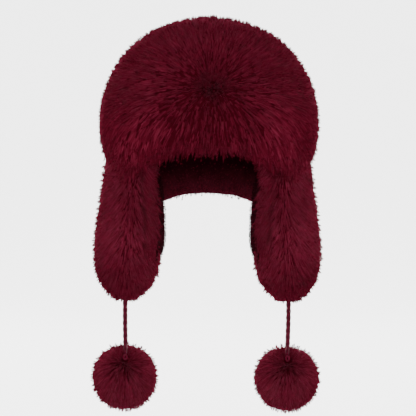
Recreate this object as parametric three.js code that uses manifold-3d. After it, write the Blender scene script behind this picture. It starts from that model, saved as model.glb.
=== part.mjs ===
// A long-haired fur ushanka with two ear flaps, each ending in a twisted cord and a fur pompom.
//
// Frame, in millimetres: +Z up, the face opening looks along -Y, +X is the wearer's left.
// The origin is the centre of the head opening, on the brow line, where the hat sits on a head.
import * as THREE from "three";
import { mergeVertices } from "three/addons/utils/BufferGeometryUtils.js";
import Module from "manifold-3d";

const wasm = await Module();
wasm.setup();

// Driving dimensions

const GAP = 0.4; // left between pieces that touch
const WALL = 3; // plush lining with its pile

// Egg forms: one half width and half depth, and their own reach up and down from the widest level.
const HEAD = { centre: [0, 4, 15], halfWidth: 79, halfDepth: 99, up: 97, down: 150 };
const CROWN = { centre: [0, 4, 35], halfWidth: 142, halfDepth: 157, up: 137, down: 155 };
const MESH = { sides: 36, furRings: 8, liningRings: 6, flapSides: 14, pompomSides: 12, pompomRings: 8 };

// The lower edge round the hat: turn is in degrees from the forehead to the nape.
const HEM = [
  { turn: 0, lining: 7, fur: 9 },
  { turn: 10, lining: 6, fur: 7.5 },
  { turn: 20, lining: 3, fur: 2 },
  { turn: 30, lining: -3, fur: -6 },
  { turn: 40, lining: -9, fur: -13 },
  { turn: 50, lining: -12, fur: -17 },
  { turn: 120, lining: -12, fur: -17 },
  { turn: 130, lining: -67, fur: -68 },
  { turn: 150, lining: -64, fur: -65 },
  { turn: 180, lining: -60, fur: -61 },
];
const SEAM_Z = -17; // where an ear flap is sewn under the crown
const FRINGE = { overhang: 8, halfTurn: 50 }; // how far the forehead's locks hang below the edge

// Where the fur of the crown parts, above the forehead. It has turned down this far from there,
// and straight below it sooner.
const WHORL = new THREE.Vector3(5, -136, 86);
const TURNS_DOWN = { over: 210, below: 45 };

// The ear flap's fur, top to bottom: outer and inner are distances from the middle of the hat.
const FLAP = [
  { z: -17, outer: 134, inner: 60, front: -50, back: 42 },
  { z: -47, outer: 137, inner: 56, front: -54, back: 44 },
  { z: -85, outer: 143, inner: 55, front: -56, back: 45 },
  { z: -118, outer: 146.5, inner: 56, front: -56, back: 44 },
  { z: -142, outer: 147, inner: 59.5, front: -54, back: 42 },
  { z: -160, outer: 144.5, inner: 64, front: -50, back: 38 },
  { z: -174, outer: 138, inner: 70, front: -42, back: 31 },
  { z: -186, outer: 128, inner: 82, front: -31, back: 20 },
  { z: -193, outer: 117, inner: 94, front: -19, back: 5 },
];
const FLAP_TIP = new THREE.Vector3(105.5, -8, -196.5);

// The flap's plush side: how far it stands from the middle of the hat, its turn towards the
// face in degrees and the outline of its tongue.
const PANEL = [
  { z: -17, x: 77 },
  { z: -45, x: 69 },
  { z: -80, x: 65 },
  { z: -120, x: 64 },
  { z: -152, x: 65 },
];
const TONGUE = { turn: 5.5, front: -44, back: 37, foot: -149 };

// The cord leaves a socket in the flap's tip and ends above a loop, in the pompom's parted fur.
const CORD = { diameter: 5, x: 105.5, y: -8, topZ: -182, step: 12, sides: 10 };
const LOOP = { radius: 2.7, wire: 1.4, z: -269.5 };
const POMPOM = { centre: [105.5, 14, -298], halfWidth: 40.5, halfDepth: 40.5, up: 40.5, down: 40.5 };
const PARTING = 46; // degrees above level, where the pompom's fur parts

// Locks stand this far apart, and each is this long, wide and high above the fur under it.
const LOCK = {
  crown: { spacing: 43, length: 46, width: 20, rise: 7 },
  flap: { spacing: 38, length: 44, width: 20, rise: 6 },
  pompom: { spacing: 28, length: 24, width: 12, rise: 6 },
};
// A lock is thickest at a share of its length; heights are shares of its rise.
const LOCK_FORM = { thickestAt: 0.45, start: -0.5, middle: 0.3, above: 0.55, below: 0.9 };
const ROW_STEP = 0.83; // rows of locks stand closer than the locks in them
const FLAP_ROWS = { top: -30, bottom: -176, around: 8, spread: 0.5, plushFrom: -0.6 };

const COLOUR = { fur: 0x5a0f1e, plush: 0x3d0911, cord: 0x6b1226 };

// Solids: three.js geometry in and out of manifold-3d

function solidOf(geometry) {
  const bare = geometry.clone();
  for (const name of Object.keys(bare.attributes)) if (name !== "position") bare.deleteAttribute(name);
  const merged = mergeVertices(bare, 1e-3);
  const vertProperties = merged.attributes.position.array;
  const triVerts = new Uint32Array(merged.index.array);
  return new wasm.Manifold(new wasm.Mesh({ numProp: 3, vertProperties, triVerts }));
}

function geometryOf(solid) {
  const mesh = solid.getMesh();
  const geometry = new THREE.BufferGeometry();
  geometry.setAttribute("position", new THREE.BufferAttribute(mesh.vertProperties, 3));
  geometry.setIndex(new THREE.BufferAttribute(mesh.triVerts, 1));
  geometry.computeVertexNormals();
  return geometry;
}

function joined(solids) {
  return solids.reduce((whole, next) => whole.add(next));
}

// A closed surface over rings of points: neighbouring rings are joined, and each end is a point.
// Each four-cornered face is split along its shorter diagonal, so that offset surfaces match.
function closedOver(firstPole, rings, lastPole) {
  const sides = rings[0].length;
  const points = [firstPole, ...rings.flat(), lastPole];
  const last = points.length - 1;
  const at = (ring, k) => 1 + ring * sides + (k % sides);
  const faces = [];
  for (let k = 0; k < sides; k++) {
    faces.push(0, at(0, k), at(0, k + 1));
    for (let ring = 0; ring + 1 < rings.length; ring++) {
      const [a, b, c, d] = [at(ring, k), at(ring + 1, k), at(ring + 1, k + 1), at(ring, k + 1)];
      if (points[a].distanceTo(points[c]) < points[b].distanceTo(points[d])) faces.push(a, b, c, a, c, d);
      else faces.push(a, b, d, b, c, d);
    }
    faces.push(last, at(rings.length - 1, k + 1), at(rings.length - 1, k));
  }
  const geometry = new THREE.BufferGeometry();
  const positions = points.flatMap((point) => point.toArray());
  geometry.setAttribute("position", new THREE.Float32BufferAttribute(positions, 3));
  geometry.setIndex(faces);
  return geometry;
}

// The value of a column at a key between two rows of a table, which may run up or down.
function readTable(rows, key, value, column) {
  const way = Math.sign(rows.at(-1)[key] - rows[0][key]);
  const next = rows.findIndex((row) => (row[key] - value) * way >= 0);
  if (next === 0) return rows[0][column];
  if (next < 0) return rows.at(-1)[column];
  const [before, after] = [rows[next - 1], rows[next]];
  const share = (value - before[key]) / (after[key] - before[key]);
  return THREE.MathUtils.lerp(before[column], after[column], share);
}

// Egg forms

// The direction at a turn from the forehead and a fall from straight up, in radians.
function heading(turn, fall) {
  const level = Math.sin(fall);
  return new THREE.Vector3(Math.sin(turn) * level, -Math.cos(turn) * level, Math.cos(fall));
}

// How far a direction is turned from the forehead, either way, in degrees.
function degreesFromFront(direction) {
  return Math.abs(THREE.MathUtils.radToDeg(Math.atan2(direction.x, -direction.y)));
}

// The point of an egg form in a direction from its centre, moved out by grow.
function onEgg(egg, direction, grow = 0) {
  const across = egg.halfWidth + grow;
  const along = egg.halfDepth + grow;
  const height = (direction.z > 0 ? egg.up : egg.down) + grow;
  const size = Math.hypot(direction.x / across, direction.y / along, direction.z / height);
  return direction.clone().divideScalar(size).add(new THREE.Vector3(...egg.centre));
}

// The direction from an egg's centre to its own edge at a turn from the forehead and a height.
function towardsEdge(egg, turn, z, grow) {
  const drop = z - egg.centre[2];
  const height = (drop > 0 ? egg.up : egg.down) + grow;
  const flat = heading(turn, Math.PI / 2);
  const reach = onEgg(egg, flat, grow).sub(new THREE.Vector3(...egg.centre)).length();
  return flat.multiplyScalar(reach * Math.sqrt(1 - (drop / height) ** 2)).setZ(drop);
}

// Rings of an egg form from near its top down to the hem.
function eggRings(egg, grow, hemColumn, ringCount) {
  const rings = Array.from({ length: ringCount }, () => []);
  for (let k = 0; k < MESH.sides; k++) {
    const turn = (k / MESH.sides) * 2 * Math.PI;
    const hem = readTable(HEM, "turn", degreesFromFront(heading(turn, Math.PI / 2)), hemColumn);
    const edge = towardsEdge(egg, turn, hem, grow);
    const fall = Math.atan2(Math.hypot(edge.x, edge.y), edge.z);
    rings.forEach((ring, i) => ring.push(onEgg(egg, heading(turn, (fall * (i + 1)) / ringCount), grow)));
  }
  return rings;
}

// A bowl between two egg forms, open at the hem.
function bowl(outer, inner) {
  const up = new THREE.Vector3(0, 0, 1);
  const outside = eggRings(outer.egg, outer.grow, outer.hem, outer.rings);
  const inside = eggRings(inner.egg, inner.grow, inner.hem, inner.rings).reverse();
  const tops = [onEgg(outer.egg, up, outer.grow), onEgg(inner.egg, up, inner.grow)];
  return solidOf(closedOver(tops[0], [...outside, ...inside], tops[1]));
}

// Locks of fur

// A pointed lock: it starts under the surface, is thickest near halfway and ends raised above it.
// seat(point, height) gives the surface point nearest to a point, raised by height, and its normal.
function lock(root, flow, size, seat) {
  const along = (share) => root.clone().addScaledVector(flow, size.length * share);
  const start = seat(root, size.rise * LOCK_FORM.start).point;
  const tip = seat(along(1), size.rise).point;
  const { point, normal } = seat(along(LOCK_FORM.thickestAt), size.rise * LOCK_FORM.middle);
  const side = new THREE.Vector3().crossVectors(flow, normal).normalize();
  const ring = [
    point.clone().addScaledVector(side, size.width / 2),
    point.clone().addScaledVector(normal, size.rise * LOCK_FORM.above),
    point.clone().addScaledVector(side, -size.width / 2),
    point.clone().addScaledVector(normal, -size.rise * LOCK_FORM.below),
  ];
  return solidOf(closedOver(start, [ring], tip));
}

// Directions of roots in staggered rows round the Z axis, from the top down to a lowest fall.
function eggRoots(egg, spacing, lowest) {
  const roots = [];
  const size = (egg.halfWidth + egg.halfDepth) / 2;
  const step = (spacing * ROW_STEP) / size;
  for (let fall = step / 2, row = 0; fall < lowest; fall += step, row++) {
    const count = Math.max(3, Math.round((2 * Math.PI * size * Math.sin(fall)) / spacing));
    for (let k = 0; k < count; k++) roots.push(heading(((k + (row % 2) / 2) / count) * 2 * Math.PI, fall));
  }
  return roots;
}

// How the surface of an egg form, sunk by depth, carries a lock.
function eggSeat(egg, depth) {
  const centre = new THREE.Vector3(...egg.centre);
  return (point, height) => {
    const direction = point.clone().sub(centre);
    return { point: onEgg(egg, direction, height - depth), normal: direction.normalize() };
  };
}

// The part of a direction that lies in a surface.
function alongSurface(direction, normal) {
  return direction.clone().addScaledVector(normal, -direction.dot(normal)).normalize();
}

// Crown

function crownLining() {
  const outside = { egg: HEAD, grow: WALL, hem: "lining", rings: MESH.liningRings };
  const inside = { egg: HEAD, grow: 0, hem: "lining", rings: MESH.liningRings };
  return bowl(outside, inside);
}

// The height that the crown's locks end at, at a turn from the forehead in degrees.
function lockEdge(turn) {
  return readTable(HEM, "turn", turn, "fur") - (turn < FRINGE.halfTurn ? FRINGE.overhang : 0);
}

// Directions of the lowest row of roots, one lock's length above where the locks end.
function hemRoots(size) {
  const count = Math.round((Math.PI * (CROWN.halfWidth + CROWN.halfDepth)) / size.spacing);
  return Array.from({ length: count }, (_, k) => {
    const turn = ((k + 0.5) / count) * 2 * Math.PI;
    const tip = towardsEdge(CROWN, turn, lockEdge(degreesFromFront(heading(turn, Math.PI / 2))), 0);
    return heading(turn, Math.acos(tip.z / tip.length()) - size.length / tip.length());
  });
}

// Directions of the rows above, which stop where their locks would reach past the lowest row.
function higherRoots(size) {
  return eggRoots(CROWN, size.spacing, Math.PI).filter((direction) => {
    const root = onEgg(CROWN, direction);
    return root.z - lockEdge(degreesFromFront(direction)) > size.length + size.spacing / 4;
  });
}

// The way the crown's fur lies: away from the whorl, and more and more downwards.
function crownFlow(point, normal) {
  const away = point.clone().sub(WHORL);
  const { smoothstep } = THREE.MathUtils;
  const pull = smoothstep(away.length(), 0, TURNS_DOWN.over) * 2 + smoothstep(-away.z, 0, TURNS_DOWN.below) * 2;
  return alongSurface(away.normalize().addScaledVector(new THREE.Vector3(0, 0, -1), pull), normal);
}

// flapSpace holds the forms that the ear flaps take up under the crown.
function crownFur(flapSpace) {
  const size = LOCK.crown;
  const outside = { egg: CROWN, grow: -size.rise, hem: "fur", rings: MESH.furRings };
  const inside = { egg: HEAD, grow: WALL + GAP, hem: "lining", rings: MESH.liningRings };
  const seat = eggSeat(CROWN, size.rise);
  const locks = [...higherRoots(size), ...hemRoots(size)].map((direction) => {
    const { point, normal } = seat(onEgg(CROWN, direction), 0);
    return lock(point, crownFlow(point, normal), size, seat);
  });
  const fur = joined([bowl(outside, inside), ...locks]);
  return flapSpace.reduce((rest, space) => rest.subtract(space), fur);
}

// Ear flaps, made for the wearer's left and mirrored for the right

// A point of the flap's section at a height, moved out by grow; angle 0 is its front.
function flapPoint(z, angle, grow) {
  const size = (column) => readTable(FLAP, "z", z, column);
  const halfWidth = (size("outer") - size("inner")) / 2 + grow;
  const halfDepth = (size("back") - size("front")) / 2 + grow;
  return new THREE.Vector3(
    (size("outer") + size("inner")) / 2 + halfWidth * Math.sin(angle),
    (size("back") + size("front")) / 2 - halfDepth * Math.cos(angle),
    z,
  );
}

// The flap's outer form, moved out by grow, with a flat top.
function flapForm(grow, topZ) {
  const ring = (z) =>
    Array.from({ length: MESH.flapSides }, (_, k) => flapPoint(z, (k / MESH.flapSides) * 2 * Math.PI, grow));
  const rings = [topZ, ...FLAP.slice(1).map((row) => row.z)].map(ring);
  return closedOver(FLAP_TIP.clone().setZ(topZ), rings, FLAP_TIP.clone().setZ(FLAP_TIP.z - grow));
}

function mirrorImage(geometry) {
  const image = geometry.clone().scale(-1, 1, 1);
  image.setIndex(Array.from(geometry.index.array).reverse());
  return image;
}

// A slab along the flap's plush side, between two distances from it towards the neck.
function slabAlongPanel(near, far) {
  const rows = [...PANEL, { z: FLAP_TIP.z, x: PANEL.at(-1).x }];
  const edge = (shift) => rows.map((row) => new THREE.Vector2(row.x - shift, row.z));
  const profile = new THREE.Shape([...edge(near), ...edge(far).reverse()]);
  const depth = 2 * CROWN.halfDepth;
  const slab = new THREE.ExtrudeGeometry(profile, { depth, bevelEnabled: false });
  slab.rotateX(Math.PI / 2);
  slab.translate(-PANEL.at(-1).x, depth / 2, 0);
  slab.rotateZ(THREE.MathUtils.degToRad(TONGUE.turn));
  slab.translate(PANEL.at(-1).x, 0, 0);
  return solidOf(slab);
}

// How the flap's outer form, sunk by depth, carries a lock.
function flapSeat(depth) {
  return (point, height) => {
    const middle = flapPoint(point.z, 0, 0).lerp(flapPoint(point.z, Math.PI, 0), 0.5);
    const angle = Math.atan2(point.x - middle.x, middle.y - point.y);
    const normal = new THREE.Vector3(Math.sin(angle), -Math.cos(angle), 0);
    return { point: flapPoint(point.z, angle, height - depth), normal };
  };
}

// Locks run down the flap and away from its front edge, on all but its plush side.
function flapLocks() {
  const size = LOCK.flap;
  const seat = flapSeat(size.rise);
  const locks = [];
  for (let z = FLAP_ROWS.top, row = 0; z > FLAP_ROWS.bottom; z -= size.spacing * ROW_STEP, row++) {
    for (let k = 0; k < FLAP_ROWS.around; k++) {
      const angle = ((k + (row % 2) / 2) / FLAP_ROWS.around) * 2 * Math.PI;
      if (Math.sin(angle) < FLAP_ROWS.plushFrom) continue;
      const { point, normal } = seat(flapPoint(z, angle, 0), 0);
      const side = k === 0 && row % 2 === 0 ? 0 : Math.sign(Math.PI - angle);
      const round = new THREE.Vector3(Math.cos(angle), Math.sin(angle), 0);
      const flow = alongSurface(round.multiplyScalar(side * FLAP_ROWS.spread).setZ(-1), normal);
      const length = Math.min(size.length, point.z - FLAP_TIP.z);
      locks.push(lock(point, flow, { ...size, length }, seat));
    }
  }
  return locks;
}

function earFlap() {
  const radius = CORD.diameter / 2 + GAP;
  const depth = CORD.topZ + GAP - FLAP_TIP.z;
  const socket = new THREE.CylinderGeometry(radius, radius, 2 * depth, CORD.sides);
  socket.rotateX(Math.PI / 2);
  socket.translate(CORD.x, CORD.y, FLAP_TIP.z);
  const whole = joined([solidOf(flapForm(-LOCK.flap.rise, SEAM_Z - GAP)), ...flapLocks()]);
  return whole.subtract(slabAlongPanel(0, FLAP_TIP.x)).subtract(solidOf(socket));
}

// The plush side of a flap: a tongue along its flat side.
function flapLining() {
  const round = (TONGUE.back - TONGUE.front) / 2;
  const tongue = new THREE.Shape();
  tongue.moveTo(TONGUE.front, SEAM_Z - GAP);
  tongue.lineTo(TONGUE.front, TONGUE.foot + round);
  tongue.absarc(TONGUE.front + round, TONGUE.foot + round, round, Math.PI, 2 * Math.PI, false);
  tongue.lineTo(TONGUE.back, SEAM_Z - GAP);
  tongue.closePath();
  const block = new THREE.ExtrudeGeometry(tongue, { depth: FLAP_TIP.x, bevelEnabled: false, curveSegments: 8 });
  block.rotateX(Math.PI / 2);
  block.rotateZ(Math.PI / 2);
  return slabAlongPanel(GAP, GAP + WALL).intersect(solidOf(block));
}

// Cords and pompoms

function cord() {
  const endZ = LOOP.z + LOOP.radius + LOOP.wire + GAP;
  const round = new THREE.Shape().absarc(0, 0, CORD.diameter / 2, 0, 2 * Math.PI);
  const route = new THREE.LineCurve3(
    new THREE.Vector3(CORD.x, CORD.y, CORD.topZ),
    new THREE.Vector3(CORD.x, CORD.y, endZ),
  );
  const steps = Math.ceil((CORD.topZ - endZ) / CORD.step);
  const options = { steps, extrudePath: route, curveSegments: CORD.sides / 2 };
  return solidOf(new THREE.ExtrudeGeometry(round, options));
}

function cordLoop() {
  const loop = new THREE.TorusGeometry(LOOP.radius, LOOP.wire, 6, 14);
  loop.rotateX(Math.PI / 2);
  loop.translate(CORD.x, CORD.y, LOOP.z);
  return solidOf(loop);
}

// The pompom's locks turn away from its parting, where the cord comes down into it.
function pompom() {
  const size = LOCK.pompom;
  const centre = new THREE.Vector3(...POMPOM.centre);
  const parting = heading(0, THREE.MathUtils.degToRad(90 - PARTING));
  const turned = new THREE.Quaternion().setFromUnitVectors(new THREE.Vector3(0, 0, 1), parting);
  const seat = eggSeat(POMPOM, size.rise);
  const locks = eggRoots(POMPOM, size.spacing, Math.PI).map((direction) => {
    const { point, normal } = seat(direction.applyQuaternion(turned).add(centre), 0);
    return lock(point, alongSurface(normal.clone().sub(parting), normal), size, seat);
  });
  const core = new THREE.SphereGeometry(POMPOM.up - size.rise, MESH.pompomSides, MESH.pompomRings);
  core.translate(...POMPOM.centre);
  const way = new THREE.CapsuleGeometry(LOOP.radius + LOOP.wire + 1.5 * GAP, POMPOM.up, 3, 10);
  way.rotateX(Math.PI / 2);
  way.translate(CORD.x, CORD.y, LOOP.z + POMPOM.up / 2);
  return joined([solidOf(core), ...locks]).subtract(solidOf(way));
}

// Assembly

const finish = (colour, roughness) => new THREE.MeshStandardMaterial({ color: colour, roughness, metalness: 0 });
const fur = finish(COLOUR.fur, 0.75);
const plush = finish(COLOUR.plush, 0.95);
const twist = finish(COLOUR.cord, 0.7);

function part(name, solid, material) {
  const mesh = new THREE.Mesh(geometryOf(solid), material);
  mesh.name = name;
  return mesh;
}

const flapSpace = flapForm(GAP, SEAM_Z);
const pairs = [
  { name: "ear_flap", solid: earFlap(), material: fur },
  { name: "flap_lining", solid: flapLining(), material: plush },
  { name: "cord", solid: cord(), material: twist },
  { name: "cord_loop", solid: cordLoop(), material: twist },
  { name: "pompom", solid: pompom(), material: fur },
];

const ushanka = new THREE.Group();
ushanka.add(part("crown_fur", crownFur([solidOf(flapSpace), solidOf(mirrorImage(flapSpace))]), fur));
ushanka.add(part("crown_lining", crownLining(), plush));
for (const side of ["left", "right"]) {
  const half = new THREE.Group();
  half.scale.x = side === "left" ? 1 : -1;
  for (const { name, solid, material } of pairs) half.add(part(`${name}_${side}`, solid, material));
  ushanka.add(half);
}

export default ushanka;
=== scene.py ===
"""A long-haired fur ushanka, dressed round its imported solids.

The fur is modelled as hairs in combed clumps over a darker undercoat. The head opening and the
flaps' neck sides have a short plush pile, and each flap ends in a twisted cord and a fur pompom.
Tables and form sizes are in millimetres, as in the part's own source. The rest is in metres.
"""

import bpy
import numpy as np
from mathutils import Euler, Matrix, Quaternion


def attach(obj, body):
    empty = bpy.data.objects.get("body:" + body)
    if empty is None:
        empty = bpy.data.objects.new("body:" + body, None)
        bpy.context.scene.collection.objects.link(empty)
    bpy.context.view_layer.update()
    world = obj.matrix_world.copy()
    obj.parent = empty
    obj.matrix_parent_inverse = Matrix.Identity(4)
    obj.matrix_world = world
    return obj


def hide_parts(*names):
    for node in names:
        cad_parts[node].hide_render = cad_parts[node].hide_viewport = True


bl_info = {
    "name": "Fur Ushanka",
    "version": (1, 0, 0),
    "blender": (4, 5, 0),
    "location": "3D View > Sidebar > Ushanka",
    "description": "Dresses a packed ushanka in fur, plush and twisted cord",
    "category": "Add Mesh",
}

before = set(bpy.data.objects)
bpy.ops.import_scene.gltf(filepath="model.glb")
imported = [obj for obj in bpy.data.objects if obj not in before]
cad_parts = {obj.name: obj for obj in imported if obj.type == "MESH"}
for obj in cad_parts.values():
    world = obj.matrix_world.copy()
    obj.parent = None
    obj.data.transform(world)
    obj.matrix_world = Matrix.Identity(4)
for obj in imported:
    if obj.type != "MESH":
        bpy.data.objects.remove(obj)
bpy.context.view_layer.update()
BODY = "root"
MM = 0.001
LEFT = np.array([1.0, 0.0, 0.0])
BACK = np.array([0.0, 1.0, 0.0])
UP = np.array([0.0, 0.0, 1.0])
GOLDEN_TURN = np.pi * (3 - np.sqrt(5))

# Egg forms: half width, half depth, and the reach up and down from the widest level.
HEAD = {"centre": (0, 4, 15), "across": 79, "along": 99, "up": 97, "down": 150}
CROWN = {"centre": (0, 4, 35), "across": 142, "along": 157, "up": 137, "down": 155}
POMPOM = {"centre": (105.5, 14, -298), "across": 40.5, "along": 40.5, "up": 41.7, "down": 41.7}

# The lining's wall, and the room between it and the crown's inside.
WALL = 3
GAP = 0.4

# The lower edge round the hat: degrees from the forehead, lining height and fur height.
HEM = {
    "turn": (0, 10, 20, 30, 40, 50, 120, 125, 130, 142, 155, 180),
    "lining": (7, 6, 3, -3, -9, -12, -12, -67, -66.5, -64.5, -60.5, -58.5),
    "fur": (9, 7.5, 2, -6, -13, -17, -17, -68, -67.5, -65.5, -62, -60),
}

# Where the crown's fur parts, above the forehead.
WHORL = np.array([5, -136, 86]) * MM

# How far the crown's hairs hang below the fur's hem, and the width of the fringe's locks.
FRINGE = {"middle": 10.5, "beside": 8, "flap": 21, "lock": 8.5}

# The ear flap's fur from its seam to its tip, for the wearer's left.
FLAP = {
    "z": (-17.4, -47, -85, -118, -142, -160, -174, -186, -193, -196.5),
    "outer": (134, 137, 143, 146.5, 147, 144.5, 138, 128, 117, 105.5),
    "inner": (60, 56, 55, 56, 59.5, 64, 70, 82, 94, 105.5),
    "front": (-50, -54, -56, -56, -54, -50, -42, -31, -19, -8),
    "back": (42, 44, 45, 44, 42, 38, 31, 20, 5, -8),
}

# The flap's mean girth, which sets how many guides it has.
FLAP_GIRTH = 290

# The flap's plush side, and the tongue of plush on it: its turn in degrees and its four edges.
PANEL = {"z": (-152, -120, -80, -45, -17), "x": (65, 64, 65, 69, 77)}
TONGUE = {"turn": 5.5, "front": -44, "back": 37, "top": -17.4, "foot": -149}
TONGUE_HALF = (TONGUE["back"] - TONGUE["front"]) / 2
TONGUE_MIDDLE = TONGUE["front"] + TONGUE_HALF

# How far from the hat's middle the border's fur ends in front of the plush.
BORDER_LINE = 61.5

# The cord's line and the length of one full twist, and the small loop that ties it.
CORD = {"x": 105.5, "y": -8, "top": -182, "end": -265, "pitch": 17}
LOOP = {"radius": 2.7, "wire": 1.4, "z": -269.5}

# The pompom's fur parts this many degrees above level, and the right one sits a little aside.
PARTING = 46
ASIDE = {"left": 0, "right": 1.5}

# Where a hair has its points along its length: it is thickest at the middle one.
ALONG = np.array([0.0, 0.6, 1.0])

# A standing tuft's hairs against long ones: how much wider, how far along the hair their colour
# starts, and how much darker they are: painted shade against the light that the raised tufts catch.
TUFT = {"width": 1.9, "root": 0.45, "darker": 0.1}

# The first random seed of each coat of hair. The two sides, and the crown's parts, count up from it.
SEEDS = {
    "crown": 2,
    "crown_fur": 100,
    "rim_fur": 120,
    "flap": 200,
    "flap_fur": 210,
    "border": 220,
    "border_fur": 230,
    "pompom": 300,
    "pompom_fur": 310,
    "lining_pile": 41,
    "tongue_pile": 53,
}

# What the camera looks at, half the picture's width there, and where the lights look.
TARGET = (0.0004, 0.005, -0.0754)
HALF_PICTURE = 0.2704
LIGHT_TARGET = (0, 0, -0.05)

# Each light's place, size and power.
LIGHTS = {
    "key": ((-1.8, -1.5, 0.2), 1.1, 12),
    "fill": ((1.8, -1.5, 0.2), 1.1, 12),
    "front": ((0.0, -2.4, 0.05), 0.8, 32),
    "top": ((0.0, -0.7, 2.0), 1.0, 12),
    "rim_left": ((1.65, 1.38, -0.3), 0.9, 150),
    "rim_right": ((-1.65, 1.38, -0.3), 0.9, 150),
    "rim_top": ((0.0, 1.5, 1.7), 1.0, 40),
}

# How brightly the backdrop glows to the camera, and how bright the room is.
BACKDROP_GLOW = 4.0
ROOM_LIGHT = 0.14


# Numbers and directions


def unit(vectors):
    """Each vector over its own length."""
    return vectors / np.maximum(np.linalg.norm(vectors, axis=-1, keepdims=True), 1e-12)


def smoothstep(low, high, value):
    """0 below low, 1 above high, and 3t squared minus 2t cubed between them."""
    share = np.clip((value - low) / (high - low), 0, 1)
    return share * share * (3 - 2 * share)


def fade(low, high, value):
    """1 below low and 0 above high: one minus the smooth step."""
    return 1 - smoothstep(low, high, value)


def band(rise, fall, value):
    """0, then 1, then 0 again: a smooth step up over one range times a fade over another."""
    return smoothstep(*rise, value) * fade(*fall, value)


def xyz(x, y, z):
    """Points or vectors from three coordinates, which may be arrays or single numbers."""
    return np.stack(np.broadcast_arrays(x, y, z), axis=-1)


def round_turn(count):
    """Angles that share a full turn evenly."""
    return np.arange(count) * 2 * np.pi / count


def level_way(turns):
    """Level directions at these turns from the forehead towards the wearer's left."""
    return xyz(np.sin(turns), -np.cos(turns), 0)


def ring_about(first, second, angles):
    """Directions in a ring: the first times each angle's cosine plus the second times its sine."""
    cosines, sines = np.cos(angles)[:, None], np.sin(angles)[:, None]
    return first[..., None, :] * cosines + second[..., None, :] * sines


def ripple(points, wavelength, seed):
    """A smooth field from about -1 to 1: the mean of six sine waves in seeded directions."""
    rng = np.random.default_rng(seed)
    ways = unit(rng.normal(size=(6, 3))) * (2 * np.pi / wavelength)
    phases = rng.uniform(0, 2 * np.pi, 6)
    return np.sin(points @ ways.T + phases).mean(axis=-1) * 1.8


def spiral(count):
    """Evenly spread directions: level heights from top to bottom, turned by the golden angle."""
    step = np.arange(count) + 0.5
    z = 1 - 2 * step / count
    turn = step * GOLDEN_TURN
    level = np.sqrt(1 - z * z)
    return xyz(np.cos(turn) * level, np.sin(turn) * level, z)


def in_surface(vectors, normals):
    """The part of each vector that is square to its normal, at unit length."""
    return unit(vectors - normals * (vectors * normals).sum(axis=-1, keepdims=True))


def turned(vectors, normals, angle):
    """Vectors in a surface turned about the normal: cosine times the vector plus sine times its side."""
    side = np.cross(normals, vectors)
    return vectors * np.cos(angle)[..., None] + side * np.sin(angle)[..., None]


def read(table, key, value, column):
    """A table's column where its key has this value, straight between rows, in the table's units."""
    return np.interp(value, table[key], table[column])


# Egg forms


def centre_of(egg):
    """The middle of the egg's widest level."""
    return np.array(egg["centre"]) * MM


def egg_sizes(egg, directions, grow):
    """Half sizes of the egg along X, Y and Z, each moved out by grow, for the half that is met."""
    height = np.where(directions[..., 2] > 0, egg["up"], egg["down"]) * MM
    return xyz(egg["across"] * MM, egg["along"] * MM, height) + grow


def on_egg(egg, directions, grow=0.0):
    """The egg's centre plus the direction over the length of (direction over half sizes)."""
    scaled = directions / egg_sizes(egg, directions, grow)
    return centre_of(egg) + directions / np.linalg.norm(scaled, axis=-1, keepdims=True)


def egg_normal(egg, points):
    """The unit gradient of the egg: each coordinate from the centre over its half size squared."""
    arms = points - centre_of(egg)
    return unit(arms / egg_sizes(egg, arms, 0.0) ** 2)


def degrees_from_front(arms):
    """How far round from the forehead a direction points, the same to both sides."""
    return np.degrees(np.abs(np.arctan2(arms[..., 0], -arms[..., 1])))


def hem_ring(egg, grow, column, turns, rings):
    """Rings of an egg from near its top to the hem: equal shares of the fall to the hem's height."""
    level = level_way(turns)
    drop = read(HEM, "turn", degrees_from_front(level), column) * MM - centre_of(egg)[2]
    below = level + UP * np.sign(drop)[:, None] * 1e-6
    height = egg_sizes(egg, below, grow)[:, 2]
    reach = np.linalg.norm(on_egg(egg, level, grow) - centre_of(egg), axis=-1)
    across = reach * np.sqrt(1 - (drop / height) ** 2)
    fall = np.arctan2(across, drop)[None, :] * (np.arange(1, rings + 1) / rings)[:, None]
    ways = level[None] * np.sin(fall)[..., None] + UP * np.cos(fall)[..., None]
    return on_egg(egg, ways, grow)


# Meshes


def joined_rings(count, sides, closed=False):
    """Triangles between neighbouring rings, and from the last to the first where it is closed."""
    ring, side = np.meshgrid(np.arange(count if closed else count - 1), np.arange(sides), indexing="ij")
    next_ring, next_side = (ring + 1) % count, (side + 1) % sides
    a, b = ring * sides + side, ring * sides + next_side
    c, d = next_ring * sides + next_side, next_ring * sides + side
    return np.concatenate([xyz(a, d, c).reshape(-1, 3), xyz(a, c, b).reshape(-1, 3)])


def closed_rings(first, rings, last):
    """Vertices and triangles of a closed surface: rings joined in turn, with a point at each end."""
    count, sides = rings.shape[:2]
    vertices = np.concatenate([first[None], rings.reshape(-1, 3), last[None]])
    around = np.arange(sides)
    after = (around + 1) % sides
    low = 1 + (count - 1) * sides
    top = xyz(0, 1 + around, 1 + after)
    bottom = xyz(len(vertices) - 1, low + after, low + around)
    return vertices, np.concatenate([top, 1 + joined_rings(count, sides), bottom])


def mirrored(vertices):
    """The same points on the wearer's right."""
    return vertices * (1 - 2 * LEFT)


# What turns the wearer's left into each side.
SIDES = {"left": np.asarray, "right": mirrored}


def placed(name, data):
    """A new object in the scene that shows this mesh, camera or light."""
    thing = bpy.data.objects.new(name, data)
    bpy.context.scene.collection.objects.link(thing)
    return thing


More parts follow.
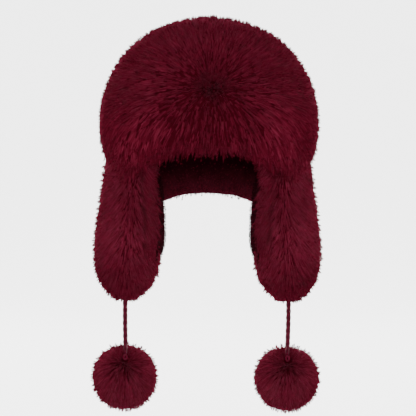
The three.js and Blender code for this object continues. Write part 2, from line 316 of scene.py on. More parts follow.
def add_piece(name, surface, material, node, flip=np.asarray, masks=()):
    """Makes one mesh object that rides on the hat, with its faces outward.

    The surface is vertices, triangles and, for hairs, a UV for each vertex. Hairs are shaded flat.
    """
    vertices, triangles, *uv = surface
    vertices = flip(vertices)
    corners = vertices[triangles]
    volume = (corners[:, 0] * np.cross(corners[:, 1], corners[:, 2])).sum()
    if volume < 0:
        triangles = triangles[:, ::-1]
    mesh = bpy.data.meshes.new(name)
    mesh.vertices.add(len(vertices))
    mesh.vertices.foreach_set("co", np.ascontiguousarray(vertices, np.float32).ravel())
    mesh.loops.add(triangles.size)
    mesh.loops.foreach_set("vertex_index", np.ascontiguousarray(triangles, np.int32).ravel())
    mesh.polygons.add(len(triangles))
    mesh.polygons.foreach_set("loop_start", np.arange(0, triangles.size, 3, dtype=np.int32))
    mesh.polygons.foreach_set("use_smooth", np.full(len(triangles), not uv))
    mesh.update(calc_edges=True)
    if uv:
        layer = mesh.uv_layers.new(name="OFBake")
        layer.data.foreach_set("uv", np.ascontiguousarray(uv[0][triangles.ravel()], np.float32).ravel())
    for mask, values in masks:
        attribute = mesh.attributes.new(mask, "FLOAT", "POINT")
        attribute.data.foreach_set("value", np.ascontiguousarray(values, np.float32))
    mesh.materials.append(material)
    piece = placed(name, mesh)
    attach(piece, BODY)
    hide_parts(node)


# Hair


def spikes(paths, widths, facing, shades, rng, base=0.0):
    """Closed hairs along their paths, as vertices, triangles and a UV for each vertex.

    A hair is a slender tetrahedron: its root, its tip, and two corners that stand half the width to
    either side of its middle point, rolled about the hair by up to 63 degrees. The two corners change
    places where the four would otherwise be inside out. U is the hair's shade, and V runs from base
    at the root to 1 at the tip.
    """
    count = len(paths)
    root, middle, tip = paths[:, 0], paths[:, 1], paths[:, 2]
    ways = unit(tip - root)
    side = unit(np.cross(ways, facing))
    over = np.cross(side, ways)
    roll = rng.uniform(-1.1, 1.1, (count, 1))
    reach = (side * np.cos(roll) + over * np.sin(roll)) * widths[:, None] / 2
    thick = (over * np.cos(roll) - side * np.sin(roll)) * widths[:, None] * 0.15
    first, second = middle + thick + reach, middle + thick - reach
    turned_in = (np.cross(first - root, second - root) * (tip - root)).sum(axis=-1) > 0
    first, second = np.where(turned_in[:, None], (second, first), (first, second))
    vertices = np.stack([root, first, second, tip], axis=1)
    faces = np.array([(0, 1, 2), (3, 2, 1), (0, 3, 1), (0, 2, 3)])
    triangles = (faces[None] + np.arange(count)[:, None, None] * 4).reshape(-1, 3)
    v = np.array([0.02, ALONG[1], ALONG[1], 0.98])
    apart = np.array([0.0, -0.012, 0.012, 0.0])
    u = 0.03 + 0.94 * shades[:, None] + apart[None]
    base = np.broadcast_to(base, count)[:, None]
    uv = np.stack([u, base + (1 - base) * v[None]], axis=-1)
    return vertices.reshape(-1, 3), triangles, uv.reshape(-1, 2)


def straight(roots, way, lengths):
    """Straight paths of three points: the root, halfway along and the tip."""
    return roots[:, None] + way[:, None] * lengths[:, None, None] * np.array([[0.0], [0.5], [1.0]])


def coat_of(paths, normals, gather=0.0, painted_light_and_tone=0.0):
    """A fur's guides: paths, root normals, how pointed their clumps are and their painted light and tone.
    """
    count = len(paths)
    return {
        "paths": paths,
        "normals": normals,
        "gather": np.broadcast_to(gather, count),
        "painted_light_and_tone": np.broadcast_to(painted_light_and_tone, count),
    }


def clumps(coat, sizes, rng):
    """Hairs round each guide: a hair keeps its own place at the root and nears the guide to the tip.

    Each hair's place is an offset across the guide, spread wide at the root and narrower at the tip,
    most of all where the fur gathers. Strays keep their offset. Returns the paths, a facing
    direction and the guide of each hair.
    """
    guides, normals = coat["paths"], coat["normals"]
    which = np.repeat(np.arange(len(guides)), sizes.hairs)
    total = len(which)
    ahead = unit(guides[:, -1] - guides[:, 0])
    side = unit(np.cross(ahead, normals))[which]
    facing = normals[which]
    radius = sizes.spacing * 0.75 * np.sqrt(rng.uniform(0, 1, total))
    angle = rng.uniform(0, 2 * np.pi, total)
    stray = rng.uniform(0, 1, total) < sizes.strays
    tight = coat["gather"][which]
    loose = rng.uniform(0.6, 1.1, total) * (1 - tight)
    near = np.where(stray, 1.0, loose + rng.uniform(0.05, 0.4, total) * tight)
    spread = 1 + (near[:, None] - 1) * ALONG[None] ** 0.8
    across = (radius * np.cos(angle))[:, None] * spread
    along = radius * np.sin(angle)
    lift = rng.normal(0, 1, total) * np.where(stray, 1.4, 0.5) * sizes.ragged
    rise = ALONG[None] ** 2 * lift[:, None]
    paths = guides[which] + side[:, None] * across[..., None] + ahead[which][:, None] * along[:, None, None]
    return paths + facing[:, None] * rise[..., None], facing, which


def tufts(coat, sizes, rng):
    """Short stout locks at every fourth guide's tip, that stand out and break up the outline.

    Three hairs make a lock: they start in a ring round its axis just under the guide's tip, run the
    way the fur flows, raised from it by about 40 degrees, and meet at the lock's point. Returns what
    clumps returns.
    """
    axes = np.arange(0, len(coat["paths"]), 4)
    guides = coat["paths"][axes]
    tips = guides[:, -1]
    flow = unit(tips - guides[:, -2])
    facing = unit(coat["normals"][axes] + 0.5 * (tips - guides[:, 0]) / sizes.length)
    facing = in_surface(facing, flow)
    pitch = np.radians(40) + rng.normal(0, 0.12, len(axes))
    way = flow * np.cos(pitch)[:, None] + facing * np.sin(pitch)[:, None]
    length = sizes.stand * 4 * rng.uniform(0.9, 1.1, len(axes))
    start = tips - facing * sizes.stand
    point = (start + way * length[:, None])[:, None]
    side = unit(np.cross(way, flow))
    roots = start[:, None] + ring_about(side, np.cross(side, way), round_turn(3)) * 0.8 * sizes.stand
    paths = np.stack([roots, roots + (point - roots) * 0.4, np.broadcast_to(point, roots.shape)], axis=2)
    return paths.reshape(-1, 3, 3), np.repeat(facing, 3, axis=0), np.repeat(axes, 3)


def shade_of(roots, which, count, rng):
    """Shades from 0.1 to 0.9: 0.56 of it the hair's own, 0.12 its clump's and 0.12 a slow drift."""
    clump = rng.uniform(0, 1, count)[which]
    drift = ripple(roots, 0.05, 7) * 0.5 + 0.5
    return 0.1 + 0.12 * clump + 0.56 * rng.uniform(0, 1, len(which)) + 0.12 * drift


def grown(name, coat, sizes, node, seed, keep=None, flip=np.asarray):
    """Grows hairs and tufts on a coat's guides and adds those that are kept as one piece."""
    rng = np.random.default_rng(seed)
    long_hairs = clumps(coat, sizes, rng)
    short_hairs = tufts(coat, sizes, rng)
    paths, facing, which = (np.concatenate(pair) for pair in zip(long_hairs, short_hairs))
    short = np.arange(len(which)) >= len(long_hairs[2])
    if keep:
        kept = keep(paths)
        paths, facing, which, short = paths[kept], facing[kept], which[kept], short[kept]
    widths = sizes.width * rng.uniform(0.7, 1.25, len(which)) * np.where(short, TUFT["width"], 1.0)
    shades = shade_of(paths[:, 0], which, len(coat["paths"]), rng)
    # The coat's painted light and tone, and a tuft's painted shade, go into each hair's shade.
    shades = np.clip(shades + coat["painted_light_and_tone"][which] - TUFT["darker"] * short, 0, 1)
    hairs = spikes(paths, widths, facing, shades, rng, np.where(short, TUFT["root"], 0.0))
    add_piece(name, hairs, material_named("Fur hair"), node, flip)


def painted_rim_light_mask(normals):
    """Painted rim light: 1 where fur seen from the front turns away at its outline, 0 where it faces front
    or back.
    """
    return band((-0.7, -0.2), (0.05, 0.38), -normals[..., 1])


def heights(depth, over):
    """How far each point of a guide stands from the outer form: from its depth up to its overshoot."""
    return -depth * (1 - ALONG) ** 1.1 + over[:, None] * ALONG


# Crown fur


def fringe_edge(arms):
    """The height at which the crown's hairs end: below the fur's hem over the brow and the flaps."""
    turn = degrees_from_front(arms)
    shorter = (FRINGE["middle"] - FRINGE["beside"]) * smoothstep(2, 14, turn)
    brow = (FRINGE["middle"] - shorter) * fade(44, 58, turn)
    flap = FRINGE["flap"] * band((40, 62), (114, 122), turn)
    return (read(HEM, "turn", turn, "fur") - brow - flap) * MM


def crown_flow(points, normals):
    """The way the crown's fur lies: away from the whorl, and down below it and at the back.

    Over the ear flaps it also parts to both sides, as the flaps' own fur does, and behind them the
    nape's fur leans forward over the gap.
    """
    away = points - WHORL
    fall = 1.5 * smoothstep(0.012, 0.1, -away[..., 2]) + 2.2 * smoothstep(0.11, 0.27, away[..., 1])
    aside = np.abs(points[..., 0])
    over_flap = smoothstep(0.05, 0.07, aside) * fade(-0.015, 0.03, points[..., 2])
    parted = 1.1 * over_flap * np.tanh((aside - 0.103) / 0.02) * np.sign(points[..., 0])
    behind_flap = band((112, 121), (128, 146), degrees_from_front(points - centre_of(CROWN)))
    forward = 11.0 * behind_flap * fade(-0.03, -0.008, points[..., 2])
    return in_surface(unit(away) + xyz(parted, -forward, -fall), normals)


def crown_roots(sizes, rng):
    """Where the crown's guides start, evenly over the egg and closer at the whorl, and their edge.

    The edge is the fringe's height there, made uneven, most of all over the flaps.
    """
    size = (CROWN["across"] + CROWN["along"] + 2 * CROWN["up"]) / 4 * MM
    directions = spiral(int(4 * np.pi * size**2 / sizes.spacing**2))
    directions = unit(directions + rng.normal(0, 0.25 * sizes.spacing / size, directions.shape))
    at_whorl = WHORL + rng.normal(0, 0.007, (260, 3)) - centre_of(CROWN)
    directions = np.concatenate([directions, unit(at_whorl)])
    roots = on_egg(CROWN, directions)
    over_flap = np.exp(-(((degrees_from_front(directions) - 84) / 36) ** 2))
    edge = fringe_edge(directions) + rng.normal(0, 1, len(roots)) * (0.003 + 0.009 * over_flap)
    inside = roots[:, 2] > edge + 0.35 * sizes.length
    return roots[inside], edge[inside]


def crown_walk(roots, length, yaw, bend):
    """Paths over the crown's egg: two steps along the flow, turned by yaw less, then plus, half bend."""
    points = [roots]
    for step, share in enumerate(np.diff(ALONG)):
        here = points[-1]
        normals = egg_normal(CROWN, here)
        flow = turned(crown_flow(here, normals), normals, yaw + bend * (step - 0.5))
        there = here + flow * (length * share)[:, None]
        points.append(on_egg(CROWN, there - centre_of(CROWN)))
    return np.stack(points, axis=1)


def crown_painted_light_and_tone(tip_normals, above, turn, away, brow, gather, rng):
    """How much lighter than its own shade the crown's fur is at each guide.

    A painted rim light makes it lighter at the outline seen from the front, and painted light lifts it
    low down over the flaps, where it lies in shade. Painted shade darkens it on the sides above them,
    at the whorl and along the fringe's edge; where the fringe gathers it is darker by a random amount,
    partly painted shade.
    """
    degrees = np.degrees(np.abs(turn))
    # Painted rim light at the outline, and random darkening where the fringe gathers, partly painted shade.
    painted_light_and_tone = 0.02 - 0.15 * gather * rng.uniform(0, 2, len(turn)) + 0.42 * painted_rim_light_mask(tip_normals)
    # Painted shade on the sides above the flaps, turning to painted light low down over them.
    painted_light_and_tone = painted_light_and_tone - (0.24 - 0.4 * fade(0.005, 0.05, above)) * band((20, 58), (100, 130), degrees)
    # Painted shade at the whorl.
    painted_light_and_tone = painted_light_and_tone - 0.12 * fade(0.015, 0.075, away)
    # Painted shade along the fringe's edge.
    return painted_light_and_tone - 0.12 * brow * fade(0.0, 0.025, above)


def crown_guides(sizes, rng):
    """Guides over the crown: each follows the flow over the outer form and stops at the edge.

    At the brow the edge and the guides' sideways pull follow a cosine and a sine round the hat, so
    that the fringe gathers in locks.
    """
    roots, edge = crown_roots(sizes, rng)
    count = len(roots)
    away = np.linalg.norm(roots - WHORL, axis=-1)
    near_whorl = 0.12 + 0.48 * smoothstep(0.0, 0.04, away) + 0.4 * smoothstep(0.03, 0.09, away)
    turn = np.arctan2(roots[:, 0], centre_of(CROWN)[1] - roots[:, 1])
    brow = fade(50, 95, np.degrees(np.abs(turn)))
    longer = 1 + 0.4 * brow * fade(0.04, 0.11, roots[:, 2])
    length = sizes.length * near_whorl * longer * rng.uniform(0.8, 1.15, count)
    yaw = ripple(roots, 0.045, 11) * sizes.wave + rng.normal(0, 1, count) * sizes.wave * 0.6
    bend = rng.normal(0, 1, count) * sizes.wave * 0.9
    place = turn * CROWN["across"] * MM + 0.004 * ripple(roots, 0.06, 17)
    lock = FRINGE["lock"] * MM
    phase = 2 * np.pi * place / lock
    edge = edge - 0.003 * brow * np.cos(phase)
    drop = np.maximum(roots[:, 2] - crown_walk(roots, length, yaw, bend)[:, -1, 2], 1e-4)
    length = length * np.clip((roots[:, 2] - edge) / drop, 0, 1)
    guides = crown_walk(roots, length, yaw, bend)
    tips = guides[:, -1]
    above = tips[:, 2] - edge
    tuck = (0.002 + 0.003 * (1 - brow)) * fade(0.0, 0.05, above)
    shoulder = 0.0016 * band((0.25, 0.7), (0.8, 0.95), unit(tips - centre_of(CROWN))[:, 2])
    over = rng.normal(0.0, 1, count) * sizes.ragged * 0.5 + shoulder - tuck
    over = over + 0.001 * tips[:, 0] / (CROWN["across"] * MM) - 0.0006
    normals = egg_normal(CROWN, guides)
    gather = brow * fade(0.02, 0.1, above)
    pull = -0.8 * gather * lock / (2 * np.pi) * np.sin(phase)
    drawn = xyz(np.cos(turn), np.sin(turn), 0)[:, None] * (pull[:, None] * ALONG)[..., None]
    painted_light_and_tone = crown_painted_light_and_tone(normals[:, -1], above, turn, away, brow, gather, rng)
    paths = guides + normals * heights(sizes.depth, over)[..., None] + drawn
    return coat_of(paths, egg_normal(CROWN, roots), gather, painted_light_and_tone)


def rim_guides(rng):
    """Guides inside the crown's rim, at the forehead and the nape, that fill its underside.

    Each hangs between the crown's and the lining's outline at its height, a share of the way in.
    """
    turns = rng.uniform(-np.pi, np.pi, 2700)
    degrees = np.degrees(np.abs(turns))
    turns = turns[(degrees < 60) | (degrees > 114)]
    level = level_way(turns)
    edge = fringe_edge(level) + 0.003 + rng.normal(0, 1, len(turns)) * 0.003
    start = edge + rng.uniform(0.02, 0.034, len(turns))
    outlines = []
    for egg, grow in ((CROWN, 0.0), (HEAD, WALL * MM)):
        drop = np.minimum((start + edge) / 2 - centre_of(egg)[2], 0) / (egg["down"] * MM)
        outlines.append((on_egg(egg, level, grow) - centre_of(egg)) * np.sqrt(1 - drop**2)[:, None])
    inward = rng.uniform(0.12, 0.74, (len(turns), 1))
    flat = outlines[0] * (1 - inward) + outlines[1] * inward + BACK * centre_of(CROWN)[1]
    share = ALONG[None, :, None]
    height = start[:, None, None] * (1 - share) + edge[:, None, None] * share
    paths = flat[:, None] + level[:, None] * (share - 0.5) * 0.004 + UP * height
    # The rim's fur is darker: painted shade under the crown's rim.
    return coat_of(paths, level, gather=0.7, painted_light_and_tone=-0.35)


def crown_undercoat(sizes):
    """The crown's closed wall: the outer egg, sunk and lumpy, and the lining's egg inside it."""
    turns = round_turn(120)
    sunk = 0.45 * sizes.depth
    outside = hem_ring(CROWN, -sunk, "fur", turns, 44)
    away = np.linalg.norm(outside - WHORL, axis=-1)
    lumps = 0.0012 * ripple(outside, 0.02, 5) - 0.002 * fade(0.008, 0.03, away)
    outside = outside + egg_normal(CROWN, outside) * lumps[..., None]
    inside = hem_ring(HEAD, (WALL + GAP) * MM, "lining", turns, 24)
    top = centre_of(CROWN) + UP * (CROWN["up"] * MM - sunk)
    bottom = centre_of(HEAD) + UP * (HEAD["up"] + WALL + GAP) * MM
    return closed_rings(top, np.concatenate([outside, inside[::-1]]), bottom)


# Ear flaps


def flap_rows(count):
    """The flap's sections at equal distances down its side, softened between the table's rows."""
    rows = np.linspace(0, len(FLAP["z"]) - 1, 400)
    at = np.arange(len(FLAP["z"]))
    columns = {name: np.interp(rows, at, FLAP[name]) * MM for name in FLAP}
    radius = (columns["outer"] - columns["inner"] + columns["back"] - columns["front"]) / 4
    down = np.concatenate([[0], np.cumsum(np.hypot(np.diff(columns["z"]), np.diff(radius)))])
    even = np.linspace(0, down[-1], count)
    soft = {}
    for name, values in columns.items():
        line = np.interp(even, down, values)
        padded = np.concatenate([np.full(4, line[0]), line, 2 * line[-1] - line[-2:-6:-1]])
        soft[name] = np.convolve(padded, np.ones(9) / 9, mode="valid")
    return {"down": even, **soft}


FLAP_ROWS = flap_rows(120)
FLAP_LENGTH = float(FLAP_ROWS["down"][-1])


def flap_radius(down):
    """Half width and half depth of the flap at a distance down its side."""
    at = np.clip(down, 0, FLAP_LENGTH)
    width = np.interp(at, FLAP_ROWS["down"], FLAP_ROWS["outer"] - FLAP_ROWS["inner"]) / 2
    depth = np.interp(at, FLAP_ROWS["down"], FLAP_ROWS["back"] - FLAP_ROWS["front"]) / 2
    return width, depth


def flap_point(down, angle, raised=0.0):
    """A point of the flap's side and its normal: an ellipse round the flap's middle at that distance.

    Past the tip a point hangs straight below it, and above the seam it stands straight above. The
    normal is the ellipse's own, tipped down by as much as the side draws in, and the point moves
    out along it by as much as it is raised.
    """
    at = np.clip(down, 0, FLAP_LENGTH)
    width, depth = flap_radius(at)
    across = np.interp(at, FLAP_ROWS["down"], FLAP_ROWS["outer"] + FLAP_ROWS["inner"]) / 2
    along = np.interp(at, FLAP_ROWS["down"], FLAP_ROWS["back"] + FLAP_ROWS["front"]) / 2
    z = np.interp(at, FLAP_ROWS["down"], FLAP_ROWS["z"]) - (down - at)
    width, depth = np.maximum(width, 1e-4), np.maximum(depth, 1e-4)
    points = xyz(across + width * np.sin(angle), along - depth * np.cos(angle), z)
    outward = unit(xyz(np.sin(angle) / width, -np.cos(angle) / depth, 0))
    step = 0.002
    wide, deep = flap_radius(at + step)
    wide_before, deep_before = flap_radius(at - step)
    drawn_in = np.clip((wide + deep - wide_before - deep_before) / (4 * step), -0.98, 0.2)
    normals = unit(outward * np.sqrt(1 - drawn_in**2)[..., None] + UP * drawn_in[..., None])
    return points + normals * np.asarray(raised)[..., None], normals


def panel_face(y, z):
    """The distance of the flap's plush side from the middle of the hat, turned towards the face."""
    return read(PANEL, "z", z / MM, "x") * MM - y * np.tan(np.radians(TONGUE["turn"]))


def on_tongue(y, z, margin):
    """Whether a place on the flap's neck side is on its plush: a strip with a half-round foot."""
    below = np.maximum((TONGUE["foot"] + TONGUE_HALF) * MM - z, 0)
    return np.hypot(y - TONGUE_MIDDLE * MM, below) < TONGUE_HALF * MM + margin


def flap_guides(sizes, rng):
    """Guides down the flap: they part at the middle of its front and run out and down from there."""
    above = 0.02
    count = int((FLAP_LENGTH + above) * FLAP_GIRTH * MM / sizes.spacing**2)
    step = np.arange(count) + 0.5
    down = (FLAP_LENGTH * 0.975 + above) * step / count - above
    angle = (step * GOLDEN_TURN) % (2 * np.pi) - np.pi
    width, depth = flap_radius(down)
    enough = rng.uniform(0, 1, count) < np.clip((width + depth) / 0.09, 0.12, 1)
    down, angle = down[enough], angle[enough]
    surface, _ = flap_point(down, angle)
    proud = surface[:, 0] > panel_face(surface[:, 1], surface[:, 2]) + 0.0015
    furry = proud | ~on_tongue(surface[:, 1], surface[:, 2] - 0.6 * sizes.length, 0.0)
    down, angle, surface = down[furry], angle[furry], surface[furry]
    count = len(down)
    length = sizes.length * rng.uniform(0.82, 1.12, count) * (1 - 0.45 * smoothstep(0.12, 0.19, down))
    length = np.minimum(length, np.maximum(FLAP_LENGTH - down, 0.006))
    turn = np.abs(angle)
    front = np.tanh(angle / 0.16) * fade(1.4, 2.3, turn)
    back = np.tanh((np.pi - turn) / 0.2) * smoothstep(2.0, 2.6, turn) * -np.sign(angle)
    lean = np.radians(38) * (front + 0.6 * back) * (1 - 0.55 * smoothstep(0.1, 0.17, down))
    wave = ripple(surface, 0.045, 23) * sizes.wave + rng.normal(0, 1, count) * sizes.wave * 0.6
    bend = rng.normal(0, 1, count) * sizes.wave * 0.9
    lean = lean[:, None] + wave[:, None] + bend[:, None] * (ALONG[None] - 0.5)
    part = length[:, None] * np.diff(ALONG, prepend=0)[None]
    downs = down[:, None] + np.cumsum(part * np.cos(lean), axis=1)
    wide, deep = flap_radius(downs)
    angles = angle[:, None] + np.cumsum(part * np.sin(lean) / np.maximum((wide + deep) / 2, 0.014), axis=1)
    raised = heights(sizes.depth, rng.normal(0, 1, count) * sizes.ragged * 0.5)
    room = np.minimum(1, np.maximum((wide + deep) / 2 - 0.004, 0.001) / sizes.depth)
    guides, normals = flap_point(downs, angles, raised * np.where(raised < 0, room, 1))
    unbent = guides[:, 0] + (guides[:, 1] - guides[:, 0]) / ALONG[1]
    fanned = (0.6 * smoothstep(0.13, 0.18, down))[:, None]
    guides[:, 2] = guides[:, 2] * (1 - fanned) + unbent * fanned
    lowest = (FLAP["z"][-1] + 3.5) * MM + rng.normal(0, 0.0006, (count, 1))
    guides[..., 2] = np.maximum(guides[..., 2], lowest)
    # Lighter on the flap's upper part and darker towards its tip, plus a painted rim light at the outline
    # seen from the front.
    painted_light_and_tone = 0.18 - 0.26 * smoothstep(0.09, 0.15, down) + 0.3 * painted_rim_light_mask(normals[:, -1])
    return coat_of(guides, normals[:, 0], painted_light_and_tone=painted_light_and_tone)


def clear_of_tongue(paths):
    """Keeps hairs that don't come out through the plush on the flap's neck side."""
    points = np.concatenate([paths[:, 1:], (paths[:, 1:] + paths[:, :-1]) / 2], axis=1)
    x, y, z = np.moveaxis(points, -1, 0)
    through = (x < panel_face(y, z) - 0.003) & on_tongue(y, z - 0.02, -0.001)
    return ~through.any(axis=1)


def border_guides(sizes, rng):
    """Guides along the front border of the flap's plush: they run down and lean in over its edge.

    Each starts on the flap's front, just outside the line where that side meets the plush. It
    leans in as far as the plush stands back from the border's line, less and less to the foot,
    and its tip stays above a random height near the plush's foot.
    """
    count = 420
    down = 0.125 * rng.uniform(0, 1, count) ** 1.2 - 0.02
    surface, normals = flap_point(*np.broadcast_arrays(down[:, None], np.linspace(-0.3, -1.3, 60)))
    behind = surface[..., 0] < panel_face(surface[..., 1], surface[..., 2]) + 0.001
    at = np.maximum(np.argmax(behind, axis=1) - rng.integers(0, 20, count), 0)
    rows = np.arange(count)
    roots, normals = surface[rows, at], normals[rows, at]
    length = sizes.length * rng.uniform(0.45, 1.1, count)
    length = np.minimum(length, roots[:, 2] + 0.124 + rng.uniform(0, 0.024, count))
    foot = roots[:, 2] - 0.96 * length
    bulge = np.maximum(panel_face(roots[:, 1], foot) - BORDER_LINE * MM, 0.0)
    inward = bulge * rng.uniform(0.75, 1.15, count) + rng.uniform(0.0005, 0.005, count)
    inward = inward * (1 - 0.85 * smoothstep(-0.105, -0.145, foot))
    forward = rng.uniform(0.0, 0.003, count) * fade(0.05, 0.1, down)
    middle = roots - xyz(0.62 * inward, forward, 0.6 * length)
    tips = roots - xyz(inward, forward, 0.96 * length)
    return coat_of(np.stack([roots - normals * 0.004, middle, tips], axis=1), normals)


def flap_undercoat(sizes):
    """The flap's closed form: its rings, sunk and lumpy, cut off flat at the plush side and the seam."""
    down = np.linspace(0, FLAP_LENGTH * 0.95, 60)
    sunk = np.minimum(0.45 * sizes.depth, flap_radius(down)[0] * 0.5)[:, None]
    rings, _ = flap_point(*np.broadcast_arrays(down[:, None], round_turn(72)), -sunk)
    rings = rings + (0.001 * ripple(rings, 0.02, 9))[..., None] * (LEFT + BACK)
    rings[..., 2] = np.minimum(rings[..., 2], FLAP["z"][0] * MM)
    rings[0, :, 2] = FLAP["z"][0] * MM
    rings[..., 0] = np.maximum(rings[..., 0], panel_face(rings[..., 1], rings[..., 2]))
    return closed_rings(rings[0].mean(axis=0), rings, rings[-1].mean(axis=0) - UP * 0.001)


# Pompoms


def pompom_frame():
    """Three directions: the fur's parting, towards the wearer's left, and square to both."""
    tilt = np.radians(PARTING)
    parting = np.array([0, -np.cos(tilt), np.sin(tilt)])
    return parting, LEFT, np.cross(parting, LEFT)


def pompom_guides(sizes, rng):
    """Guides over the ball: each runs along a meridian away from the parting and rises from the ball."""
    radius = POMPOM["across"] * MM
    parting, left, other = pompom_frame()
    spread = int(4 * np.pi * radius**2 / sizes.spacing**2)
    at_parting = 110
    step = np.arange(spread) + 0.5
    fall = np.concatenate([np.arccos(1 - 2 * step / spread), np.abs(rng.normal(0, 0.2, at_parting))])
    turn = step * GOLDEN_TURN + rng.normal(0, 0.05, spread)
    turn = np.concatenate([turn, rng.uniform(0, 2 * np.pi, at_parting)])
    count = len(fall)
    near_parting = 0.25 + 0.75 * smoothstep(0.0, 0.75, fall)
    length = sizes.length * rng.uniform(0.8, 1.15, count) * (1 - 0.35 * smoothstep(2.2, 3.0, fall))
    length = length * near_parting
    wave = rng.normal(0, 1, count) * sizes.wave
    run = length[:, None] / radius * ALONG
    falls = fall[:, None] + run * np.cos(wave)[:, None]
    ring = np.maximum(np.sin(np.clip(falls, 0.25, np.pi - 0.25)), 0.2)
    turns = turn[:, None] + run * np.sin(wave)[:, None] / ring
    normals = (
        np.cos(falls)[..., None] * parting
        + (np.sin(falls) * np.cos(turns))[..., None] * left
        + (np.sin(falls) * np.sin(turns))[..., None] * other
    )
    over = rng.normal(0, 1, count) * sizes.ragged * 0.5 + 0.0018
    raised = heights(sizes.depth, over) * (0.5 + 0.5 * near_parting)[:, None]
    taller = np.array([1.0, 1.0, POMPOM["up"] / POMPOM["across"]])
    guides = centre_of(POMPOM) + normals * (radius + raised)[..., None] * taller
    # Lighter overall and darker round the parting, plus a painted rim light at the outline seen from the
    # front.
    painted_light_and_tone = 0.16 - 0.18 * fade(0.05, 0.6, fall) + 0.2 * painted_rim_light_mask(normals[:, -1])
    return coat_of(guides, normals[:, 0], painted_light_and_tone=painted_light_and_tone)


def clear_of_cord(paths):
    """Keeps hairs that neither reach the cord and its loop nor lie in front of them."""
    clearance = 0.0036
    axis = np.array([CORD["x"], CORD["y"]]) * MM
    points = np.concatenate([paths, (paths[:, 1:] + paths[:, :-1]) / 2], axis=1)
    flat = points[..., :2] - axis
    z = points[..., 2]
    high = z > (LOOP["z"] - 5) * MM
    near = np.linalg.norm(flat, axis=-1) < clearance
    before = (np.abs(flat[..., 0]) < clearance) & (flat[..., 1] < 0.002) & (z < (LOOP["z"] + 8) * MM)
    return ~(high & (near | before)).any(axis=1)


def pompom_core(sizes):
    """The pompom's undercoat: a sunk, lumpy ball of rings with a dimple at the parting."""
    fall = (np.arange(1, 24) * np.pi / 24)[:, None]
    turn = round_turn(40)
    ways = xyz(np.sin(fall) * np.cos(turn), np.sin(fall) * np.sin(turn), np.cos(fall))
    radius = POMPOM["across"] * MM - 0.6 * sizes.depth
    dimple = 0.002 * smoothstep(0.9, 1.0, ways @ pompom_frame()[0])
    lumps = 0.0008 * ripple(ways * 0.04, 0.012, 13)
    rings = centre_of(POMPOM) + ways * (radius - dimple + lumps)[..., None]
    return closed_rings(centre_of(POMPOM) + UP * radius, rings, centre_of(POMPOM) - UP * radius)


# Cords


def cord_route():
    """The cord's middle from inside the flap's tip to its loop: plumb, with a slight sway aside."""
    top, end = CORD["top"] * MM, CORD["end"] * MM
    z = np.linspace(top, end, 150)
    sway = 0.0004 * np.sin((z - top) / (end - top) * np.pi * 1.5)
    return xyz(CORD["x"] * MM + sway, CORD["y"] * MM, z)


def twisted_cord(sizes):
    """A two-ply twisted cord along its route, with a mask for its plies and one for its threads.

    The radius in the cord's own turning frame is the outer radius times the root of 0.72 plus 0.28
    times the squared cosine. Threads are a finer ripple on it. It draws in by a third at the loop.
    """
    route = cord_route()
    ways = unit(np.gradient(route, axis=0))
    side = in_surface(np.broadcast_to(LEFT, ways.shape), ways)
    angles = round_turn(24)
    run = np.concatenate([[0], np.cumsum(np.linalg.norm(np.diff(route, axis=0), axis=-1))])[:, None]
    phase = angles - 2 * np.pi * run / sizes.pitch
    ply = np.cos(phase) ** 2
    thread = 0.5 + 0.5 * np.cos(9 * phase + 2.2 * np.pi * run / (sizes.pitch * 0.3))
    radius = sizes.diameter / 2 * (1 - 0.32 * smoothstep(-0.25, -0.259, route[:, 2]))[:, None]
    reach = radius * (np.sqrt(0.72 + 0.28 * ply) + 0.04 * (thread - 0.5))
    rings = route[:, None] + reach[..., None] * ring_about(side, np.cross(ways, side), angles)
    # The masks also place the painted shade in the cord's grooves and the threads' bump.
    masks = [
        ("ply", np.concatenate([[1], ply.ravel(), [1]])),
        ("thread", np.concatenate([[0.5], thread.ravel(), [0.5]])),
    ]
    return closed_rings(route[0], rings, route[-1]), masks


def tied_loop():
    """A ring stretched upright whose strand is wound five times round, and the cord's two masks.

    The strand's radius is the wire's times the root of 0.45 plus 0.55 times the squared cosine.
    """
    turn = round_turn(72)
    angles = round_turn(14)
    middle = np.array([CORD["x"], CORD["y"], LOOP["z"]]) * MM
    circle = middle + xyz(0.72 * np.sin(turn), 0, 1.1 * np.cos(turn)) * (LOOP["radius"] * MM)
    wind = angles - 5 * turn[:, None]
    lobes = np.sqrt(0.45 + 0.55 * np.cos(wind) ** 2)
    reach = LOOP["wire"] * MM * lobes
    rings = circle[:, None] + reach[..., None] * ring_about(unit(circle - middle), BACK, angles)
    masks = [("ply", lobes.ravel()), ("thread", 0.5 + 0.5 * np.cos(7 * wind).ravel())]
    return (rings.reshape(-1, 3), joined_rings(len(turn), len(angles), closed=True)), masks


# Linings


def head_lining(plush):
    """The lining's closed wall: an egg with ribs up its inside, rounded over at its lower edge."""
    turns = round_turn(plush.ribs * 3)
    outer_wall = (WALL - 0.1) * MM
    outside = hem_ring(HEAD, outer_wall, "lining", turns, 14)
    inside = hem_ring(HEAD, 0.0, "lining", turns, 36)
    ribs = 0.5 + 0.5 * np.cos(turns * plush.ribs)
    below_top = smoothstep(0.15, 0.6, np.arange(36) / 35)[:, None]
    relief = 0.00045 * ribs[None] * below_top + 0.0002 * ripple(inside, 0.012, 3)
    inside = inside - egg_normal(HEAD, inside) * relief[..., None]
    edge = (outside[-1] + inside[-1]) / 2 - UP * 0.0012
    rings = np.concatenate([outside, edge[None], inside[::-1]])
    pole = centre_of(HEAD) + UP * HEAD["up"] * MM
    return closed_rings(pole + UP * outer_wall, rings, pole)


